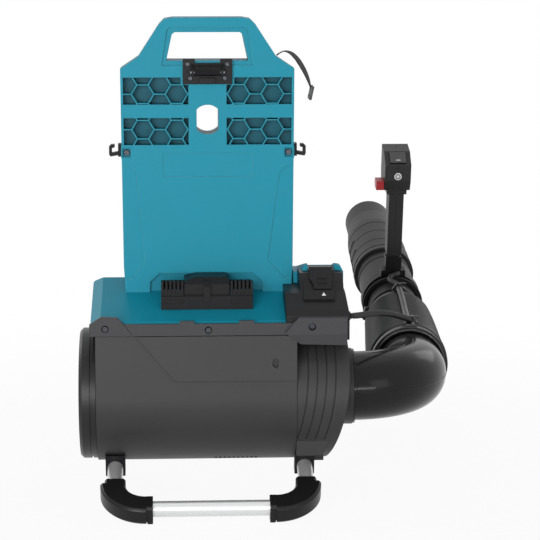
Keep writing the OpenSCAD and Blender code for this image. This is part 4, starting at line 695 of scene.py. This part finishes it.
# the rest in mm, but for PULL
COVER = 66.3  # front cover's face, in Y
PAD_RIM = 2.5  # thickness at the rim
PAD_INSET, PAD_ROOM = 4, 7  # left for the swelling, in width and height and in depth
PULL = 0.035  # how far a pad's sides pull in between its corners, as a share
SEAM_WIDTHS = ((2.2, 3.4), (9, 1.6))  # a stitched channel's spread and depth, sharp and soft
SEAM_FADE = 10  # the channels end this far from the rim
FACE_START, FACE_FADE = 3, 6  # only the front face is stitched: from this depth, over that much
PUCKER_HEIGHT, PUCKER_PITCH, PUCKER_SPREAD = 0.35, 9, 5


def outline_point(a, b, w, h):
    """(a, b) in -1..1 to a pad outline whose sides pull in between its rounded corners."""
    ax, bx = abs(a), abs(b)
    m = max(ax, bx)
    k = 1.0
    if m > 0:
        k = m / (ax ** 5 + bx ** 5) ** 0.2
        k = 1 + (k - 1) * m ** 2
    x = a * k * w / 2 * (1 - PULL * (1 - b * b) * ax ** 2)
    z = b * k * h / 2 * (1 - PULL * (1 - a * a) * bx ** 2)
    return x, z


def vertices(o):
    return np.array([v.co for v in o.data.vertices])


def move_vertices(o, co):
    o.data.vertices.foreach_set("co", co.ravel())
    o.data.update()


def apply_modifiers(o):
    dg = bpy.context.evaluated_depsgraph_get()
    mesh = bpy.data.meshes.new_from_object(o.evaluated_get(dg))
    mats = list(o.data.materials)
    o.modifiers.clear()
    o.data = mesh
    mesh.materials.clear()
    for mat in mats:
        mesh.materials.append(mat)


def swell(o, pressure=5, voxel=0.005, cap=0.006, frames=14):
    """Cloth with pressure on a remeshed copy; no point moves further than cap, in metres."""
    remesh = o.modifiers.new("remesh", "REMESH")
    remesh.mode = "VOXEL"
    remesh.voxel_size = voxel
    remesh.use_smooth_shade = True
    apply_modifiers(o)
    start = vertices(o)
    cloth = o.modifiers.new("cloth", "CLOTH")
    cloth.settings.use_pressure = True
    cloth.settings.uniform_pressure_force = pressure
    cloth.settings.effector_weights.gravity = 0
    cloth.settings.quality = 6
    cloth.settings.tension_stiffness = 12
    cloth.settings.compression_stiffness = 12
    cloth.settings.bending_stiffness = 0.4
    cloth.collision_settings.use_collision = False
    cloth.point_cache.frame_start = 1
    cloth.point_cache.frame_end = frames + 1
    for k in range(1, frames + 1):
        scene.frame_set(k)
    end = vertices(o.evaluated_get(bpy.context.evaluated_depsgraph_get()))
    o.modifiers.clear()
    scene.frame_set(1)
    move = end - start
    far = np.linalg.norm(move, axis=1)
    if np.isfinite(far).all() and len(end) == len(start):
        share = np.where(far > cap, cap / np.maximum(far, 1e-9), 1)[:, None]
        move_vertices(o, start + move * share)


def crowned(w, h, y0, deep, z0):
    """A pad's closed grid, crowned in front and flat behind, as vertices and faces."""
    nu, nv = PAD_FACES, max(12, round(PAD_FACES * h / w))
    verts, faces = [], []
    for in_front in (False, True):
        for j in range(nv + 1):
            for i in range(nu + 1):
                a, b = 2 * i / nu - 1, 2 * j / nv - 1
                x, z = outline_point(a, b, w - PAD_INSET, h - PAD_INSET)
                crown = (1 - abs(a) ** 4) * (1 - abs(b) ** 4)
                y = y0 + (PAD_RIM + (deep - PAD_ROOM) * crown if in_front else 0)
                verts.append((x * MM, y * MM, (z0 + z) * MM))
    m = (nu + 1) * (nv + 1)
    for j in range(nv):
        for i in range(nu):
            a = j * (nu + 1) + i
            faces.append((a, a + 1, a + nu + 2, a + nu + 1))
            faces.append((m + a, m + a + nu + 1, m + a + nu + 2, m + a + 1))
    edge = [i for i in range(nu)] + [j * (nu + 1) + nu for j in range(nv)]
    edge += [nv * (nu + 1) + i for i in range(nu, 0, -1)] + [j * (nu + 1) for j in range(nv, 0, -1)]
    for k, a in enumerate(edge):
        b = edge[(k + 1) % len(edge)]
        faces.append((b, a, m + a, m + b))
    return verts, faces


def near(distance, spread):
    """1 at no distance, falling off over spread."""
    return np.exp(-(distance / spread) ** 2)


def stuffed_pad(name, w, h, y0, deep, z0, mat, seams):
    """A stuffed pad: a crowned grid, swollen by a cloth simulation, then stitched at seams."""
    o = new_object(name, *crowned(w, h, y0, deep, z0), mat)
    swell(o)
    # the back stays on the cover; nothing leaves the pad's own space
    co = np.clip(vertices(o) / MM, (-w / 2, y0, z0 - h / 2), (w / 2, y0 + deep, z0 + h / 2))
    move_vertices(o, co * MM)
    sub = o.modifiers.new("sub", "SUBSURF")
    sub.levels = sub.render_levels = 2
    apply_modifiers(o)
    co = vertices(o) / MM
    front = np.clip((co[:, 1] - y0 - FACE_START) / FACE_FADE, 0, 1)
    dip = np.zeros(len(co))
    for x in seams:
        dip = np.maximum(dip, sum(near(co[:, 0] - x, spread) * depth
                                  for spread, depth in SEAM_WIDTHS))
    edge_x = np.clip((w / 2 - np.abs(co[:, 0])) / SEAM_FADE, 0, 1)
    edge_z = np.clip((h / 2 - np.abs(co[:, 2] - z0)) / SEAM_FADE, 0, 1)
    co[:, 1] -= dip * front * edge_x * edge_z
    # fine puckers beside the seams
    for x in seams:
        wave = PUCKER_HEIGHT * np.sin(co[:, 2] * 2 * math.pi / PUCKER_PITCH)
        co[:, 1] += wave * near(co[:, 0] - x, PUCKER_SPREAD) * front * edge_z
    move_vertices(o, co * MM)
    shade_smooth(o.data)
    return o


def piping(name, w, h, y, z0, r=1.25):
    """Bound edge of a pad: a flat rounded tape all the way round."""
    points = []
    for t in circle(96):
        c, s = math.cos(t), math.sin(t)
        m = max(abs(c), abs(s))
        x, z = outline_point(c / m, s / m, w, h)
        points.append(np.array([x, y, z0 + z]) * MM)
    rings = []
    for i, p in enumerate(points):
        d = unit(points[(i + 1) % len(points)] - points[i - 1])
        rings.append(ring(p, d, Y, 2.6 * r * MM, r * MM, 10))
    dress(new_object(name, *sweep(rings, loop=True), "web"), "pack")


for name, node, w, h, deep, z0, seams in (
        ("back_pad_cushion", "back_pad", 150, 110, 24, 446, (-25, 25)),
        ("hip_pad_cushion", "hip_pad", 160, 74, 34, 350, (0,))):
    o = stuffed_pad(name, w, h, COVER + 0.3, deep, z0, "mesh", seams)
    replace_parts(o, node)
    dress(o, "pack")
    piping(name + "_binding", w - 2.6, h - 2.6, COVER + 3.4, z0)

# ---------------------------------------------------------------- shoulder straps

# route of a strap in mm from its upper mount: outwards, forwards, up
STRAP = [(0, -6, 0), (0, 24, 12), (2, 58, 4), (6, 82, -32), (12, 92, -84), (20, 86, -140),
         (28, 66, -188), (35, 34, -218), (38, -3, -226)]
MOUNT_X, MOUNT_Y, MOUNT_Z = 62, COVER + 4, 594.5
PAD_START, PAD_SHARE = 5, 0.66  # first point of the pad, and where it ends along the strap
PAD_TAPER, PAD_TIP = 5, 0.12  # points over which its ends narrow, and the share left there
END_WIDTH, MORE_WIDTH, BOUND_WIDTH = 12, 15.5, 15.2  # half width at its ends, and more between
END_DEPTH, MORE_DEPTH, FACE_DEPTH = 1.2, 5.0, 5.6  # half thickness, and the webbing's height on it
RIPPLE, RIPPLE_TURN = 0.03, 1.7
PAD_SECTION, WEBBING_SECTION = (28, 2.5), (10, 4)  # points round it, and power


def ribbon(name, q, sides, width, thick):
    """Webbing along a route; sides are the directions its width lies in, one per point."""
    rings = [flat_ring(c, d, side, width / 2 * MM, thick / 2 * MM, *WEBBING_SECTION)
             for c, d, side in zip(q, headings(q), sides)]
    o = new_object(name, *sweep(rings), "web")
    smooth_by_angle(o, 60)
    dress(o, "pack")
    return o


def buckle(bar_name, side_name, place, half, bars, bar_bevel, side, ends):
    """A ladder lock: bars across it as (y0, y1, u0, u1), and a side piece at each end of them,
    given by its (inner, outer, u0, u1) and its ends."""
    for k, (y0, y1, u0, u1) in enumerate(bars):
        bar = prism(f"{bar_name}_{k}", corners(-half, half, u0, u1), y0, y1, "buckle", bar_bevel,
                    place)
        dress(bar, "pack")
    inner, outer, u0, u1 = side
    for k, letter in ((-1, "a"), (1, "b")):
        bar = prism(f"{side_name}_{letter}", corners(k * inner, k * outer, u0, u1), *ends,
                    "buckle", 0.9, place)
        dress(bar, "pack")


def strap_axes(d):
    """Across a strap that heads along d, and out of its face."""
    b, u = across(d, X)
    return b, -u if u[1] < 0 else u


def shoulder_strap(s, tag):
    """Pad with bound edges, webbing down its face, and a buckle where it ends; s is -1 or 1."""
    q = [np.array([s * (MOUNT_X + x / MM), MOUNT_Y + y / MM, MOUNT_Z + z / MM]) * MM
         for x, y, z in smooth_route(metres(STRAP), ROUTE_STEPS)]
    h = headings(q)
    top, low = PAD_START, int(len(q) * PAD_SHARE)

    def full(i):
        """How far the pad has its full width at point i: 0 at its ends, 1 between them."""
        return min(1, max(0, min(i - top, low - i) / PAD_TAPER)) ** 0.5

    rings = []
    for i in range(top, low + 1):
        e = full(i) or PAD_TIP
        ripple = 1 + RIPPLE * math.sin(i * RIPPLE_TURN)
        rings.append(flat_ring(q[i], h[i], X, (END_WIDTH + MORE_WIDTH * e) * MM,
                               (END_DEPTH + MORE_DEPTH * e) * MM * ripple, *PAD_SECTION))
    pad = new_object("shoulder_pad_" + tag, *sweep(rings), "mesh")
    dress(pad, "pack")
    if s < 0:
        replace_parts(pad, "shoulder_straps")
    for edge in (-1, 1):
        line = [q[i] + edge * across(h[i], X)[0] * (END_WIDTH + BOUND_WIDTH * full(i)) * MM
                for i in range(top + 2, low - 1)]
        rings = [ring(p, d, X, 1.3 * MM, 1.9 * MM, 10) for p, d in zip(line, headings(line))]
        where = "out" if edge * s > 0 else "in"
        binding = new_object(f"shoulder_binding_{tag}_{where}", *sweep(rings), "web")
        dress(binding, "pack")
    face = [p + strap_axes(d)[1] * (FACE_DEPTH * full(i)) * MM
            for i, (p, d) in enumerate(zip(q, h))]
    ribbon("strap_webbing_" + tag, face, [X] * len(face), 25, 1.6)
    centre, along = q[low + 2], h[low + 2]
    width, out = strap_axes(along)

    def on_strap(a, y, u):
        return tuple(centre + (a * width + y * along + u * out) * MM)

    buckle("ladder_bar_" + tag, "ladder_side_" + tag, on_strap, 15.5,
           ((-12, -8.5, -1.0, 3.4), (-2.2, 1.4, 1.2, 4.6), (7.5, 11, -1.6, 2.2)), 0.9,
           (13.4, 16.4, -1.4, 4.2), (-12, 11))


shoulder_strap(-1, "left")
shoulder_strap(1, "right")

# ---------------------------------------------------------------- loose strap end

TAIL = [(99.5, 40, 632.3), (106, 40, 636.5), (112, 40, 638), (120, 38, 635.5), (128, 34, 628),
        (134, 30, 619), (139, 27, 610), (143.5, 26, 600), (146.5, 26, 591), (148, 26, 585)]
TAIL_TWIST = 28  # degrees, at its middle
TAIL_END = (148, 26, 580)  # the middle of the buckle that hangs from it
TAIL_LEAN = math.radians(12)

q = smooth_route(metres(TAIL), 4)
twists = [math.radians(TAIL_TWIST * math.sin(math.pi * (i / (len(q) - 1)))) for i in range(len(q))]
sides = [np.array([math.sin(a), math.cos(a), 0.0]) for a in twists]
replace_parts(ribbon("strap_tail_webbing", q, sides, 17, 1.7), "strap_tail")


def on_tail(a, y, u):
    """Across the buckle, down it and through it, in mm."""
    c, s = math.cos(TAIL_LEAN), math.sin(TAIL_LEAN)
    x0, y0, z0 = TAIL_END
    return ((x0 + u * c - y * s) * MM, (y0 + a) * MM, (z0 - u * s - y * c) * MM)


buckle("tail_buckle_bar", "tail_buckle_side", on_tail, 13,
       ((-9.5, -6, -1.8, 1.8), (-1.8, 1.8, -1.8, 1.8), (6, 9.5, -1.8, 1.8)), 0.8,
       (11, 14, -2.2, 2.2), (-10, 10))

# ---------------------------------------------------------------- printed marks

PORT = (158.5, -38, 317)  # the socket's face, at its middle
PORT_RISE = 5.46  # the print, out of that face
DISPLAY_ALONG, DISPLAY_UP, DISPLAY_RISE = 61, 256, -1.25  # in the pipes' frame
DISPLAY_SLOPE = math.radians(57)
BUTTON_ALONG, BUTTON_UP = 48.1, 228


def mark(name, points, faces, mat, body):
    """A thin printed patch through points given in mm."""
    dress(new_object(name, metres(points), faces, mat, smooth=False), body)


def on_port(x, y, z):
    """The socket's frame in mm: x right, y up the slope, z out of it."""
    c = math.sqrt(0.5)
    return (PORT[0] + x, PORT[1] + (y - z) * c, PORT[2] + (y + z) * c)


def on_handle(s, right, up):
    """The pipes' frame in mm to the common frame in mm."""
    return tuple(on_pipe(s, right, up) / MM)


def on_display(x, y):
    """The display's outer face in mm: x right, y down the slope."""
    c, s = math.cos(DISPLAY_SLOPE), math.sin(DISPLAY_SLOPE)
    z = DISPLAY_RISE
    return on_handle(DISPLAY_ALONG - y * s + z * c, x, DISPLAY_UP - y * c - z * s)


turn = circle(32)
n = len(turn)
mark("insert_arrow",
     [on_port(x, y, PORT_RISE) for x, y in ((-0.2, -28.6), (6.0, -28.6), (2.9, -22.6))],
     [(0, 1, 2)], "mark", "pack")
mark("display_lamp", [on_display(0.4 + 4.3 * math.cos(a), 6.2 + 1.7 * math.sin(a)) for a in turn],
     [tuple(range(n))], "lamp", "swivel_tube")
mark("button_ring",
     [on_handle(BUTTON_ALONG, r * math.cos(a), BUTTON_UP + r * math.sin(a))
      for r in (4.2, 2.9) for a in turn],
     [(k, (k + 1) % n, n + (k + 1) % n, n + k) for k in range(n)], "grey", "power_key")
